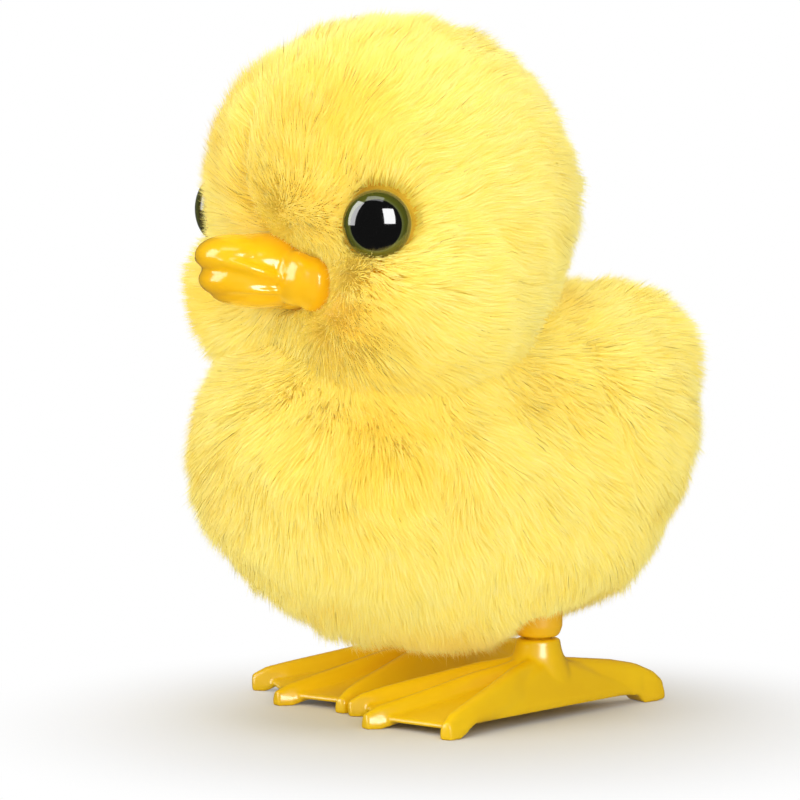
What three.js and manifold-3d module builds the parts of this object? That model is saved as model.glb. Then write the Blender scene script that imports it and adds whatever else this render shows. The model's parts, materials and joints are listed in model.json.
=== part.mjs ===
// Wind-up hopping chick: a plush chick sewn round a clockwork motor that rocks its two webbed feet.
// Millimetres. The chick faces -Y, its left side is +X, +Z is up and it stands on z = 0.
// While it is built, x = 0, y = 0 is the point of the floor midway between the ankles.
import * as THREE from "three";
import { ConvexGeometry } from "three/addons/geometries/ConvexGeometry.js";
import { mergeVertices } from "three/addons/utils/BufferGeometryUtils.js";
import Module from "manifold-3d";

const wasm = await Module();
wasm.setup();

// ---------------------------------------------------------------- driving dimensions

const SIDE = 60; // more than half the width or length of anything here
const TALL = 120; // more than its height

const GAP = 0.3; // clearance between pieces that touch
const RUN = 0.2; // radial clearance of a shaft in its bearing

// The plush form is a soft union of ellipsoids: [centre, radii].
const SKULL = [[0, -17.5, 72.5], [26.5, 27, 26.8]];
const LEFT_CHEEK = [[13, -23, 60.5], [17, 18.5, 15]];
const RIGHT_CHEEK = [[-13, -23, 60.5], [17, 18.5, 15]];
const BREAST = [[0, -16.5, 37], [27.5, 30, 24.5]];
const BELLY = [[0, -6, 31], [28, 31, 21.5]];
const RUMP = [[0, 6, 40], [26, 24, 21]];
const TAIL = [[0, 21, 49.5], [13.5, 11.5, 10.5]];
const FACE_DENT = [[0, -46, 63.5], [13, 8.5, 8]]; // hollow that the bill is pulled into
const BLEND = 0.45; // sharpness of the union, per millimetre
const FORM_CENTRE = [0, -12, 51]; // every point of the form can be seen from here
const FORM_DETAIL = 6;

const PLUSH_THICK = 5; // backing cloth with its pile
const STUFFING_DEPTH = 5.5;
const BOTTOM_SEAM_Z = 18; // seam between the side panels and the bottom panel
const NECK_Z = 57; // the head filling sits on the body filling here

const EYE_AT = [21.6, -33, 71.4]; // centre of the left eye's rim
const EYE_TURN = 54.5; // degrees outward from straight ahead
const EYE_R = 4.75;
const EYE_DOME = 2.9;
const EYE_BASE = 4.2;

const BILL_BACK_Y = -34; // the bill's flange rests on the backing here
const BILL_PARTS = [
  [[0, -34.6, 63.3], [11, 3.4, 5.2]], // root flange with the corners of the mouth
  [[0, -39.6, 65.2], [7.2, 9.2, 3.8]], // upper mandible
  [[0, -38.6, 61.7], [6.2, 8.6, 3.1]], // lower mandible
];
const BILL_POST_Z = 63.5;
const POST_R = 1.5;
const WASHER_R = 4.6;
const WASHER_THICK = 1.2;

const ANKLE_X = 12.2;
const STEM_R = 3.5;
const COLLAR_R = 3.2;
const COLLAR_TOP_Z = 11.1;
const PEG_R = 1.8;

// Clockwork: axes run along X, at [y, z].
const MODULE = 0.6;
const GREAT_TEETH = 30;
const PINION_TEETH = 10;
const WHEEL_TEETH = 24;
const ROCKER_AT = [0, 25];
const CRANK_THROW = 2;
const CRANK_AT = [0, 33]; // 8 mm above the rocker's shaft
const IDLER_ANGLE = 100; // direction from the crank axle to the idler axle, degrees from +Y
const GREAT_ANGLE = -17; // direction from the idler axle to the winding arbor
const CASE_HALF = 8.4;
const CASE_WALL = 1.4;
const AXLE_R = 0.8;
const SHAFT_R = 1.5;
const ARBOR_R = 1.8;
const PIN_R = 0.7;
const KNOB_X = -27.6; // inner face of the winding knob

// ---------------------------------------------------------------- colours

const finish = (color, roughness, metalness = 0) =>
  new THREE.MeshStandardMaterial({ color, roughness, metalness });
const PLUSH = () => finish(0xfbe77c, 0.95);
const FILLING = () => finish(0xf4f1e6, 1);
const BILL_YELLOW = () => finish(0xffc400, 0.2);
const FOOT_YELLOW = () => finish(0xf7c600, 0.22);
const LEG_ORANGE = () => finish(0xffb000, 0.4);
const WHITE_PLASTIC = () => finish(0xe9e6dc, 0.45);
const GEAR_PLASTIC = () => finish(0xdfe3e0, 0.4);
const STEEL = () => finish(0xb9bcc0, 0.3, 1);
const EYE_BLACK = () => finish(0x15120a, 0.06);

// ---------------------------------------------------------------- solids

const rad = THREE.MathUtils.degToRad;

/** A geometry as a closed solid that faces outwards. */
function solid(geometry) {
  const bare = new THREE.BufferGeometry();
  const loose = geometry.index ? geometry.toNonIndexed() : geometry;
  bare.setAttribute("position", loose.getAttribute("position").clone());
  const merged = mergeVertices(bare, 1e-4);
  const kept = [];
  const index = merged.index.array;
  for (let i = 0; i < index.length; i += 3) {
    const [a, b, c] = index.subarray(i, i + 3);
    if (a !== b && b !== c && c !== a) kept.push(a, b, c);
  }
  const vertProperties = merged.attributes.position.array;
  const build = (list) =>
    new wasm.Manifold(
      new wasm.Mesh({ numProp: 3, vertProperties, triVerts: new Uint32Array(list) }),
    );
  const made = build(kept);
  return made.volume() < 0 ? build(kept.reverse()) : made;
}

/** A solid as a geometry. */
function geometryOf(made) {
  const mesh = made.getMesh();
  const geometry = new THREE.BufferGeometry();
  const points = new Float32Array(mesh.numVert * 3);
  for (let i = 0; i < mesh.numVert; i++) {
    points.set(mesh.vertProperties.subarray(i * mesh.numProp, i * mesh.numProp + 3), i * 3);
  }
  geometry.setAttribute("position", new THREE.BufferAttribute(points, 3));
  geometry.setIndex(new THREE.BufferAttribute(mesh.triVerts, 1));
  geometry.computeVertexNormals();
  return geometry;
}

const join = (...solids) => solids.reduce((a, b) => a.add(b));
const cut = (from, ...solids) => solids.reduce((a, b) => a.subtract(b), from);

/** A box between two corners. */
function block([x0, y0, z0], [x1, y1, z1]) {
  const geometry = new THREE.BoxGeometry(x1 - x0, y1 - y0, z1 - z0);
  geometry.translate((x0 + x1) / 2, (y0 + y1) / 2, (z0 + z1) / 2);
  return solid(geometry);
}

/** A turned piece about the Z axis: profile points are [radius, z]. */
function turned(profile, segments = 20) {
  const points = profile.map(([r, z]) => new THREE.Vector2(r, z));
  return new THREE.LatheGeometry(points, segments).rotateX(Math.PI / 2);
}

/** A turned piece about an axis along X: profile points are [radius, x]; at is [y, z]. */
function turnedX(profile, at = [0, 0], segments = 16) {
  const geometry = turned(profile, segments);
  geometry.rotateY(Math.PI / 2);
  return solid(geometry.translate(0, at[0], at[1]));
}

/** A rod about an axis along X, from x0 to x1. */
function rodX(radius, x0, x1, at = [0, 0], segments = 12) {
  return turnedX([[0, x0], [radius, x0], [radius, x1], [0, x1]], at, segments);
}

/** A flat shape drawn as [y, z] points, thickened from x0 to x1. */
function plateX(points, x0, x1) {
  const shape = new THREE.Shape(points.map(([y, z]) => new THREE.Vector2(y, z)));
  const geometry = new THREE.ExtrudeGeometry(shape, { depth: x1 - x0, bevelEnabled: false });
  const toX = new THREE.Matrix4().makeBasis(
    new THREE.Vector3(0, 1, 0),
    new THREE.Vector3(0, 0, 1),
    new THREE.Vector3(1, 0, 0),
  );
  return solid(geometry.applyMatrix4(toX).translate(x0, 0, 0));
}

/** An ellipsoid. */
function ellipsoid([centre, radii], grow = 0, columns = 16, rows = 10) {
  const geometry = new THREE.SphereGeometry(1, columns, rows);
  geometry.scale(radii[0] + grow, radii[1] + grow, radii[2] + grow);
  return solid(geometry.translate(...centre));
}

/** The points of a small ball, for the hulls below. */
function ball(centre, radii) {
  const geometry = new THREE.SphereGeometry(1, 8, 6);
  geometry.scale(...radii).translate(...centre);
  const position = geometry.getAttribute("position");
  return Array.from({ length: position.count }, (_, i) =>
    new THREE.Vector3().fromBufferAttribute(position, i),
  );
}

/** The convex piece round some points. */
const hull = (...groups) => solid(new ConvexGeometry(groups.flat()));

/** Turns a piece made round +Z at the origin to point along a direction, and moves it. */
function aimed(geometry, direction, at) {
  const turn = new THREE.Quaternion().setFromUnitVectors(
    new THREE.Vector3(0, 0, 1),
    new THREE.Vector3(...direction).normalize(),
  );
  return geometry.applyQuaternion(turn).translate(...at);
}

// ---------------------------------------------------------------- the scene graph

const chick = new THREE.Group();

function add(name, made, material, parent = chick) {
  const mesh = new THREE.Mesh(made.isBufferGeometry ? made : geometryOf(made), material);
  mesh.name = name;
  parent.add(mesh);
  return mesh;
}

/** Adds a left piece and its mirror image on the right. */
function addPair(name, made, material) {
  const geometry = geometryOf(made);
  add("left_" + name, geometry, material());
  add("right_" + name, geometry, material()).scale.x = -1;
}

// ---------------------------------------------------------------- plush form

const FORMS = [SKULL, LEFT_CHEEK, RIGHT_CHEEK, BREAST, BELLY, RUMP, TAIL];

/** Roughly the distance of a point from an ellipsoid's surface, negative inside. */
function fromEllipsoid(p, [centre, radii]) {
  const q = p.map((value, i) => (value - centre[i]) / radii[i]);
  const reach = Math.hypot(...q);
  const slope = Math.hypot(...q.map((value, i) => value / radii[i]));
  return (reach * (reach - 1)) / Math.max(slope, 1e-9);
}

/** Roughly the distance of a point from the plush form's surface. */
function fromForm(p) {
  const sum = FORMS.reduce((s, form) => s + Math.exp(-BLEND * fromEllipsoid(p, form)), 0);
  const union = -Math.log(sum) / BLEND;
  const dent = -fromEllipsoid(p, FACE_DENT);
  return Math.log(Math.exp(BLEND * union) + Math.exp(BLEND * dent)) / BLEND;
}

/** The plush form's surface, moved inwards by a depth. */
function formSurface(depth) {
  const geometry = new THREE.IcosahedronGeometry(1, FORM_DETAIL);
  const position = geometry.getAttribute("position");
  for (let i = 0; i < position.count; i++) {
    const ray = [position.getX(i), position.getY(i), position.getZ(i)];
    let reach = 80;
    for (let step = 0; step < 40; step++) {
      const p = ray.map((value, axis) => FORM_CENTRE[axis] + value * reach);
      reach -= 0.8 * (fromForm(p) + depth);
    }
    position.setXYZ(i, ...ray.map((value, axis) => FORM_CENTRE[axis] + value * reach));
  }
  return solid(geometry);
}

// ---------------------------------------------------------------- eyes and bill

const eyeWay = [Math.sin(rad(EYE_TURN)), -Math.cos(rad(EYE_TURN)), 0];
const facing = (profile, at, way, segments = 16) =>
  solid(aimed(turned(profile, segments), way, at));

function eyeDome() {
  const profile = [[0, -EYE_BASE - 6], [POST_R, -EYE_BASE - 6], [POST_R, -EYE_BASE]];
  profile.push([EYE_R - 0.35, -EYE_BASE], [EYE_R, -EYE_BASE + 0.35], [EYE_R, 0]);
  for (const turn of [20, 40, 60, 75]) {
    profile.push([EYE_R * Math.cos(rad(turn)), EYE_DOME * Math.sin(rad(turn))]);
  }
  profile.push([0, EYE_DOME]);
  return facing(profile, EYE_AT, eyeWay);
}

/** A push-on washer: a ring from z0 up, about its own axis. */
const washerProfile = (z0) => [
  [POST_R + GAP, z0],
  [WASHER_R, z0],
  [WASHER_R, z0 + WASHER_THICK],
  [POST_R + GAP, z0 + WASHER_THICK],
  [POST_R + GAP, z0],
];
const EYE_WASHER_Z = -EYE_BASE - 4;
const BILL_WASHER_Z = -4.4;
const billWay = [0, -1, 0];
const billAt = [0, BILL_BACK_Y, BILL_POST_Z];

const drum = (radius, low, high) => [[0, low], [radius, low], [radius, high], [0, high]];

/** What a post, its washer and the eye's base take out of the plush and of the filling. */
const eyeHole = facing(drum(POST_R + GAP, -16, 0), EYE_AT, eyeWay);
const eyeSeat = facing(drum(EYE_R + GAP, -EYE_BASE - GAP, 12), EYE_AT, eyeWay);
const eyePocket = facing(drum(WASHER_R + GAP, -EYE_BASE - 7, 12), EYE_AT, eyeWay);
const billHole = facing(drum(POST_R + GAP, -14, 2), billAt, billWay);
const billPocket = facing(drum(WASHER_R + GAP, -8, 12), billAt, billWay);

function bill(grow = 0) {
  const front = block([-30, -80, 30], [30, BILL_BACK_Y + grow, 90]);
  const mandibles = join(...BILL_PARTS.map((part) => ellipsoid(part, grow)));
  return mandibles.intersect(front);
}

// ---------------------------------------------------------------- clockwork layout

const away = ([y, z], angle, distance) => [
  y + distance * Math.cos(rad(angle)),
  z + distance * Math.sin(rad(angle)),
];
const pitchR = (teeth) => (teeth * MODULE) / 2;
const IDLER_AT = away(CRANK_AT, IDLER_ANGLE, pitchR(WHEEL_TEETH) + pitchR(PINION_TEETH));
const GREAT_AT = away(IDLER_AT, GREAT_ANGLE, pitchR(GREAT_TEETH) + pitchR(PINION_TEETH));

const SPRING_IN = ARBOR_R + 0.6;
const SPRING_OUT = 7.8;
const SPRING_PIN_R = 0.6;
const SPRING_PIN_AT = away(GREAT_AT, 90, SPRING_OUT + 1.3);

/** A spur gear's outline about the origin, with the middle of a tooth at an angle. */
function gearOutline(teeth, angle) {
  const pitch = 360 / teeth;
  const root = pitchR(teeth) - 1.2 * MODULE;
  const tip = pitchR(teeth) + 0.85 * MODULE;
  const points = [];
  for (let i = 0; i < teeth; i++) {
    const middle = angle + i * pitch;
    for (const [radius, share] of [[root, -0.29], [tip, -0.1], [tip, 0.1], [root, 0.29]]) {
      points.push(away([0, 0], middle + share * pitch, radius));
    }
  }
  return points;
}

/** The angle for a gear that meets another gear's tooth with a gap, seen from its own centre. */
const inMesh = (teeth, towards) => towards + 180 / teeth;

// ---------------------------------------------------------------- motor case

/** The outline round the train, as [y, z] points, drawn in or out by an offset. */
function caseOutline(offset) {
  const discs = [
    [ROCKER_AT, 5],
    [CRANK_AT, 8],
    [IDLER_AT, 10],
    [GREAT_AT, 11.3],
  ];
  const points = discs.flatMap(([at, radius]) =>
    Array.from({ length: 18 }, (_, i) => {
      const [y, z] = away(at, i * 20, radius + offset);
      return new THREE.Vector3(0, y, z);
    }),
  );
  const lid = points.map((p) => p.clone().setX(1));
  const shell = new ConvexGeometry([...points, ...lid]);
  const ring = new Map();
  const position = shell.getAttribute("position");
  for (let i = 0; i < position.count; i++) {
    if (position.getX(i) < 0.5) {
      ring.set(position.getY(i).toFixed(4) + "," + position.getZ(i).toFixed(4), [
        position.getY(i),
        position.getZ(i),
      ]);
    }
  }
  const middle = [6, 37];
  const turn = ([y, z]) => Math.atan2(z - middle[1], y - middle[0]);
  return [...ring.values()].sort((a, b) => turn(a) - turn(b));
}

const CASE_SCREWS = { front: [-8.6, 35.4], rear: [12.9, 27.6], top: [-7.3, 52.4] };
const LUG_R = 2.5;
const SCREW_R = 0.9;

function caseHalf(side) {
  const low = side < 0 ? -CASE_HALF : GAP / 2;
  const high = side < 0 ? -GAP / 2 : CASE_HALF;
  const innerLow = side < 0 ? low + CASE_WALL : low - 1;
  const innerHigh = side < 0 ? high + 1 : high - CASE_WALL;
  const wall = side < 0 ? low + CASE_WALL - 0.2 : high - CASE_WALL + 0.2;
  const inward = -side;
  let half = plateX(caseOutline(0), low, high);
  for (const at of Object.values(CASE_SCREWS)) half = half.add(rodX(LUG_R, low, high, at, 12));
  half = half.subtract(plateX(caseOutline(-CASE_WALL), innerLow, innerHigh));
  const boss = (at, radius, length) => {
    const end = wall + inward * length;
    return rodX(radius, Math.min(wall, end), Math.max(wall, end), at);
  };
  half = half.add(boss(IDLER_AT, 1.9, 1.4));
  if (side < 0) half = half.add(boss(CRANK_AT, 2.1, 8.4));
  if (side > 0) half = half.add(boss(GREAT_AT, 2.9, 1.4));
  half = half.subtract(rodX(AXLE_R + RUN, -7.9, 7.9, IDLER_AT));
  if (side < 0) half = half.subtract(rodX(AXLE_R + RUN, -7.9, 7.9, CRANK_AT));
  half = half.subtract(rodX(SHAFT_R + RUN, -20, 20, ROCKER_AT));
  half = half.subtract(rodX(ARBOR_R + RUN, side < 0 ? -20 : -8, side < 0 ? 0 : 7.7, GREAT_AT));
  if (side < 0) half = half.subtract(rodX(SPRING_PIN_R + RUN, -7.9, 0, SPRING_PIN_AT));
  for (const at of Object.values(CASE_SCREWS)) {
    const depth = side < 0 ? 12 : 6.8;
    half = half.subtract(rodX(SCREW_R + GAP, -depth, depth, at, 12));
  }
  return half;
}

/** A case screw: a pan head outside the right half, its shank into the left half. */
const caseScrew = (at) =>
  turnedX(
    [[0, -10.6], [1.5, -10.6], [2, -10.1], [2, -8.7], [SCREW_R, -8.7], [SCREW_R, 5.6], [0, 6.4]],
    at,
    12,
  );

// ---------------------------------------------------------------- gears, arbor and spring

const GREAT_X = [0, 1.6];
const RATCHET_X = [-1.7, -GAP];
const RATCHET_R = 4;

function greatGear() {
  const gear = plateX(gearOutline(GREAT_TEETH, GREAT_ANGLE + 180), ...GREAT_X);
  const click = [0, 180].map((start) => {
    const arc = [];
    for (let i = 0; i <= 8; i++) arc.push(away([0, 0], start + i * 12, 6.2));
    for (let i = 8; i >= 1; i--) arc.push(away([0, 0], start + i * 12, 5.1));
    arc.push(away([0, 0], start + 6, RATCHET_R + GAP));
    const finger = plateX(arc, RATCHET_X[0], RATCHET_X[1]);
    const root = arc.filter((_, i) => i >= 6 && i <= 11);
    return finger.add(plateX(root, RATCHET_X[1] - 0.1, GREAT_X[0] + 0.2));
  });
  return cut(join(gear, ...click), rodX(ARBOR_R + RUN, -3, 3));
}

function ratchetWheel() {
  const teeth = 12;
  const points = [];
  for (let i = 0; i < teeth; i++) {
    points.push(away([0, 0], (i * 360) / teeth, RATCHET_R - 0.8));
    points.push(away([0, 0], ((i + 0.15) * 360) / teeth, RATCHET_R));
  }
  return cut(plateX(points, ...RATCHET_X), rodX(ARBOR_R + RUN, -3, 3));
}

function idlerGear() {
  const pinion = plateX(gearOutline(PINION_TEETH, inMesh(PINION_TEETH, GREAT_ANGLE)), -0.3, 2.4);
  const wheel = plateX(
    gearOutline(WHEEL_TEETH, inMesh(WHEEL_TEETH, IDLER_ANGLE + 180)),
    2.2,
    3.6,
  );
  return cut(join(pinion, wheel), rodX(AXLE_R + RUN, -5, 8));
}

function crankWheel() {
  const pinion = plateX(gearOutline(PINION_TEETH, IDLER_ANGLE), 2, 4);
  const disc = rodX(3.5, 3.9, 5.1, [0, 0], 20);
  const pin = rodX(PIN_R, 5, 6.8, [0, CRANK_THROW], 12);
  return join(cut(join(pinion, disc), rodX(AXLE_R + RUN, 0, 4.6)), pin);
}

/** The coiled strip of the mainspring: its inner end is at the arbor, its outer end at a fixed pin. */
function mainspring() {
  const turns = 5.25;
  const steps = 63;
  const edge = (thick) =>
    Array.from({ length: steps + 1 }, (_, i) => {
      const share = i / steps;
      return away([0, 0], share * turns * 360, SPRING_IN + share * (SPRING_OUT - SPRING_IN) + thick);
    });
  return plateX([...edge(0), ...edge(0.35).reverse()], -6.5, -2.3);
}

/** The arbor: a long shaft from the knob to the left half of the case. */
function windingArbor() {
  const end = KNOB_X + 3;
  const profile = [[0, KNOB_X - 4], [1.4, KNOB_X - 4], [1.4, end], [ARBOR_R, end]];
  profile.push([ARBOR_R, 7.4], [0, 7.4]);
  return turnedX(profile);
}

/** The winding knob: a collar with two flat wings for finger and thumb. */
function windingKnob() {
  const collar = rodX(3.6, KNOB_X - 5, KNOB_X, [0, 0], 24);
  const wing = (way) =>
    hull(
      ball([KNOB_X - 4.4, way * 3, 0], [1, 1, 1.5]),
      ball([KNOB_X - 9.4, way * 2.4, 0], [1.2, 1.2, 1.2]),
      ball([KNOB_X - 4.8, way * 6.2, 0], [1.2, 1.2, 1.2]),
      ball([KNOB_X - 8.6, way * 6.6, 0], [1.4, 1.4, 1.2]),
    );
  const web = hull(
    ball([KNOB_X - 4.4, -3, 0], [1, 1, 1.2]),
    ball([KNOB_X - 4.4, 3, 0], [1, 1, 1.2]),
    ball([KNOB_X - 8, -3, 0], [1, 1, 0.9]),
    ball([KNOB_X - 8, 3, 0], [1, 1, 0.9]),
  );
  return cut(join(collar, wing(-1), wing(1), web), rodX(1.4 + RUN, KNOB_X - 4.3, KNOB_X + 1));
}

// ---------------------------------------------------------------- rocker and legs

const LEVER_X = [5.4, 6.6];

/** The slotted lever: the crank pin runs in its slot and rocks the shaft. */
function rockerLever() {
  const hub = rodX(3, 4.4, 6.7, [0, 0], 16);
  const arm = block([LEVER_X[0], -2.3, 0], [LEVER_X[1], 2.3, 12.4]);
  const slot = block([0, -PIN_R - GAP, 5.2], [9, PIN_R + GAP, 11.2]);
  return cut(join(hub, arm), slot, rodX(SHAFT_R + RUN, 0, 9));
}

const SHAFT_END = 17;
const LEG_FROM = 8.7; // the leg's inner and outer faces
const LEG_TO = 15.7;
const CLIP_THICK = 0.6;

/** The cross shaft that carries both legs. */
const rockerShaft = () =>
  turnedX([
    [0, -SHAFT_END],
    [SHAFT_R - 0.3, -SHAFT_END],
    [SHAFT_R, 0.3 - SHAFT_END],
    [SHAFT_R, SHAFT_END - 0.3],
    [SHAFT_R - 0.3, SHAFT_END],
    [0, SHAFT_END],
  ]);

/** A push-on washer that keeps the leg on the shaft. */
const shaftClip = () =>
  cut(
    rodX(3, LEG_TO + GAP, LEG_TO + GAP + CLIP_THICK, ROCKER_AT, 16),
    rodX(SHAFT_R + RUN, 0, 20, ROCKER_AT),
  );

const PEG_END = 5.6; // height of the peg's lower end in the foot

/** A leg: a boss on the rocker's shaft, a stem with a chamfered shoulder and a peg for the foot. */
function leg() {
  const boss = rodX(4, LEG_FROM, LEG_TO, ROCKER_AT, 24);
  const shoulder = COLLAR_TOP_Z + GAP;
  const profile = [[0, PEG_END], [PEG_R - 0.3, PEG_END], [PEG_R, PEG_END + 0.3]];
  profile.push([PEG_R, shoulder], [COLLAR_R - 0.3, shoulder], [STEM_R, shoulder + 1.6]);
  profile.push([STEM_R, ROCKER_AT[1]], [0, ROCKER_AT[1]]);
  const stem = turned(profile, 24).translate(ANKLE_X, 0, 0);
  return cut(join(boss, solid(stem)), rodX(SHAFT_R + RUN, 0, 20, ROCKER_AT));
}

// A toe or heel is a chain of balls, [outward, forward, height of centre, half width, half height].
const ANKLE_BALL = [0, 1, 5.6, 3.6, 2.8];
const TOES = {
  outer: [[5.4, 9.5, 4.6, 2.2, 2.8], [13.3, 23.5, 1.5, 1.8, 1.8]],
  middle: [[0, 11.5, 4.3, 2.2, 2.6], [-0.1, 28, 1.4, 1.9, 1.7]],
  inner: [[-4.3, 9.6, 4.3, 2.1, 2.5], [-10.4, 23.9, 1.4, 1.6, 1.7]],
};
const HEEL = [[0, -3, 5.1, 3.2, 2.7], [0, -12, 4.5, 2.3, 2.2], [0, -18.9, 3.2, 2, 2.1]];
const HEEL_PAD = [0, -18.9, 1, 2, 1.6];
const FLANKS = [[5.6, 1, 3.4, 0.8, 0.8], [-4.8, 1, 3.4, 0.8, 0.8]]; // the low edge beside the ankle
const WEB_EDGE_Z = 1.9;
const WEB_THICK = 0.7;
const WEB_BACK = 1.2; // the web's front edge is this far behind the toes' tips

function link([out, forward, height, wide, high]) {
  return ball([ANKLE_X + out, -forward, height], [wide, wide, high]);
}

/** A thin skin between two toes. */
function web(a, b) {
  const edge = ([out, forward], top) =>
    [top - WEB_THICK, top].map((z) => new THREE.Vector3(ANKLE_X + out, -forward, z));
  const front = (toe) => {
    const [out, forward] = TOES[toe][1];
    return edge([out, forward - WEB_BACK], WEB_EDGE_Z);
  };
  return hull(edge(ANKLE_BALL, ANKLE_BALL[2]), front(a), front(b));
}

/** The left foot: three webbed toes, a heel spur with its pad and the ankle collar. */
function foot() {
  const profile = [[0, 4], [5.2, 4], [4.4, 6.4], [COLLAR_R + 0.35, 8.4], [COLLAR_R + 0.05, 9.8]];
  profile.push([COLLAR_R, COLLAR_TOP_Z], [0, COLLAR_TOP_Z]);
  const collar = solid(turned(profile, 24).translate(ANKLE_X, 0, 0));
  const toes = Object.values(TOES).flatMap(([middle, tip]) => [
    hull(link(ANKLE_BALL), link(middle)),
    hull(link(middle), link(tip)),
  ]);
  const heel = [
    hull(link(HEEL[0]), link(HEEL[1])),
    hull(link(HEEL[1]), link(HEEL[2])),
    hull(link(HEEL[2]), link(HEEL_PAD)),
  ];
  const flanks = FLANKS.map((flank, i) =>
    hull(link(flank), link(ANKLE_BALL), link(TOES[i ? "inner" : "outer"][0]), link(HEEL[1])),
  );
  const webs = [web("outer", "middle"), web("middle", "inner")];
  const whole = join(collar, ...toes, ...heel, ...flanks, ...webs);
  const underFloor = block([-SIDE, -SIDE, -10], [SIDE, SIDE, 0]);
  const socket = solid(
    turned(drum(PEG_R + RUN, PEG_END - 0.4, 20), 16).translate(ANKLE_X, 0, 0),
  );
  return cut(whole, underFloor, socket);
}

// ---------------------------------------------------------------- soft panels and filling

/** The room that a leg needs in the bottom of the plush, on the left. */
const legRoom = block([LEG_FROM - GAP, -8, 0], [LEG_TO + 0.7, 8, 22]);
const mirror = (made) => {
  const geometry = geometryOf(made).scale(-1, 1, 1);
  return solid(geometry);
};
const bothSides = (made) => [made, mirror(made)];
const arborRoom = rodX(ARBOR_R + 2 * GAP, -60, 0, GREAT_AT);

const plushShell = cut(
  formSurface(0),
  formSurface(PLUSH_THICK),
  ...bothSides(eyeHole),
  ...bothSides(eyeSeat),
  ...bothSides(legRoom),
  billHole,
  bill(GAP),
  arborRoom,
);

/** The room for the motor and for the swing of the legs beside it. */
const motorRoom = join(
  plateX(caseOutline(1), -CASE_HALF - 0.8, CASE_HALF + 0.8),
  ...Object.values(CASE_SCREWS).map((at) => rodX(LUG_R + 1, -11.2, CASE_HALF + 0.8, at)),
  plateX([[-9, 0], [9, 0], [6, 31], [-6, 31]], -SHAFT_END - 0.6, SHAFT_END + 0.6),
);

const filling = cut(
  formSurface(STUFFING_DEPTH),
  ...bothSides(eyePocket),
  billPocket,
  arborRoom,
  motorRoom,
);

// ---------------------------------------------------------------- assembly

const seam = GAP / 2;
const above = BOTTOM_SEAM_Z + seam;
const panels = {
  left_plush_panel: block([seam, -SIDE, above], [SIDE, SIDE, TALL]),
  right_plush_panel: block([-SIDE, -SIDE, above], [-seam, SIDE, TALL]),
  bottom_plush_panel: block([-SIDE, -SIDE, 0], [SIDE, SIDE, BOTTOM_SEAM_Z - seam]),
};
for (const [name, region] of Object.entries(panels)) {
  add(name, plushShell.intersect(region), PLUSH());
}
const fillings = {
  head_stuffing: block([-SIDE, -SIDE, NECK_Z + seam], [SIDE, SIDE, TALL]),
  body_stuffing: block([-SIDE, -SIDE, 0], [SIDE, SIDE, NECK_Z - seam]),
};
for (const [name, region] of Object.entries(fillings)) {
  add(name, filling.intersect(region), FILLING());
}

addPair("eye", eyeDome(), EYE_BLACK);
addPair("eye_washer", facing(washerProfile(EYE_WASHER_Z), EYE_AT, eyeWay), WHITE_PLASTIC);
const billPost = facing(drum(POST_R, -7, 1), billAt, billWay);
add("bill", join(bill(), billPost), BILL_YELLOW());
add("bill_washer", facing(washerProfile(BILL_WASHER_Z), billAt, billWay), WHITE_PLASTIC());

add("motor_case_left", caseHalf(1), WHITE_PLASTIC());
add("motor_case_right", caseHalf(-1), WHITE_PLASTIC());
for (const [name, at] of Object.entries(CASE_SCREWS)) {
  add("case_screw_" + name, caseScrew(at), STEEL());
}
add("idler_axle", rodX(AXLE_R, -7.7, 7.7, IDLER_AT), STEEL());
add("crank_axle", rodX(AXLE_R, -7.7, 4.3, CRANK_AT), STEEL());

add("spring_pin", rodX(SPRING_PIN_R, -7.7, -2.2, SPRING_PIN_AT), STEEL());

/** A group on an axis along X, so that what turns together is drawn about its own axis. */
function axisGroup([y, z]) {
  const group = new THREE.Group();
  group.position.set(0, y, z);
  chick.add(group);
  return group;
}

const winding = axisGroup(GREAT_AT);
add("mainspring", mainspring(), STEEL(), winding);
add("great_gear", greatGear(), GEAR_PLASTIC(), winding);
add("ratchet_wheel", ratchetWheel(), GEAR_PLASTIC(), winding);
add("winding_arbor", windingArbor(), STEEL(), winding);
add("winding_knob", windingKnob(), FOOT_YELLOW(), winding);
add("idler_gear", idlerGear(), GEAR_PLASTIC(), axisGroup(IDLER_AT));
add("crank_wheel", crankWheel(), GEAR_PLASTIC(), axisGroup(CRANK_AT));

const rocker = axisGroup(ROCKER_AT);
add("rocker_lever", rockerLever(), GEAR_PLASTIC(), rocker);
add("rocker_shaft", rockerShaft(), STEEL(), rocker);
addPair("shaft_clip", shaftClip(), STEEL);
addPair("leg", leg(), LEG_ORANGE);
addPair("foot", foot(), FOOT_YELLOW);

// The frame's origin is the middle of the whole object's base.
const whole = new THREE.Box3().setFromObject(chick, true);
const middle = whole.getCenter(new THREE.Vector3());
chick.position.set(-middle.x, -middle.y, -whole.min.z);

export default chick;
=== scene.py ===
# %% [markdown]
# # A wind-up hopping chick
# A plush chick is sewn round a clockwork motor that rocks two webbed plastic feet. The frame
# holds its gears, shafts and case. This lesson gives the chick its looks: a long yellow pile,
# glossy eyes, a moulded bill, and the feet, legs and winding key. Every new piece rides on a body
# of the frame.

# %% Load the frame
import json
import math

import bpy
import numpy as np
from mathutils import Matrix, Vector
from mathutils.kdtree import KDTree

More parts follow.
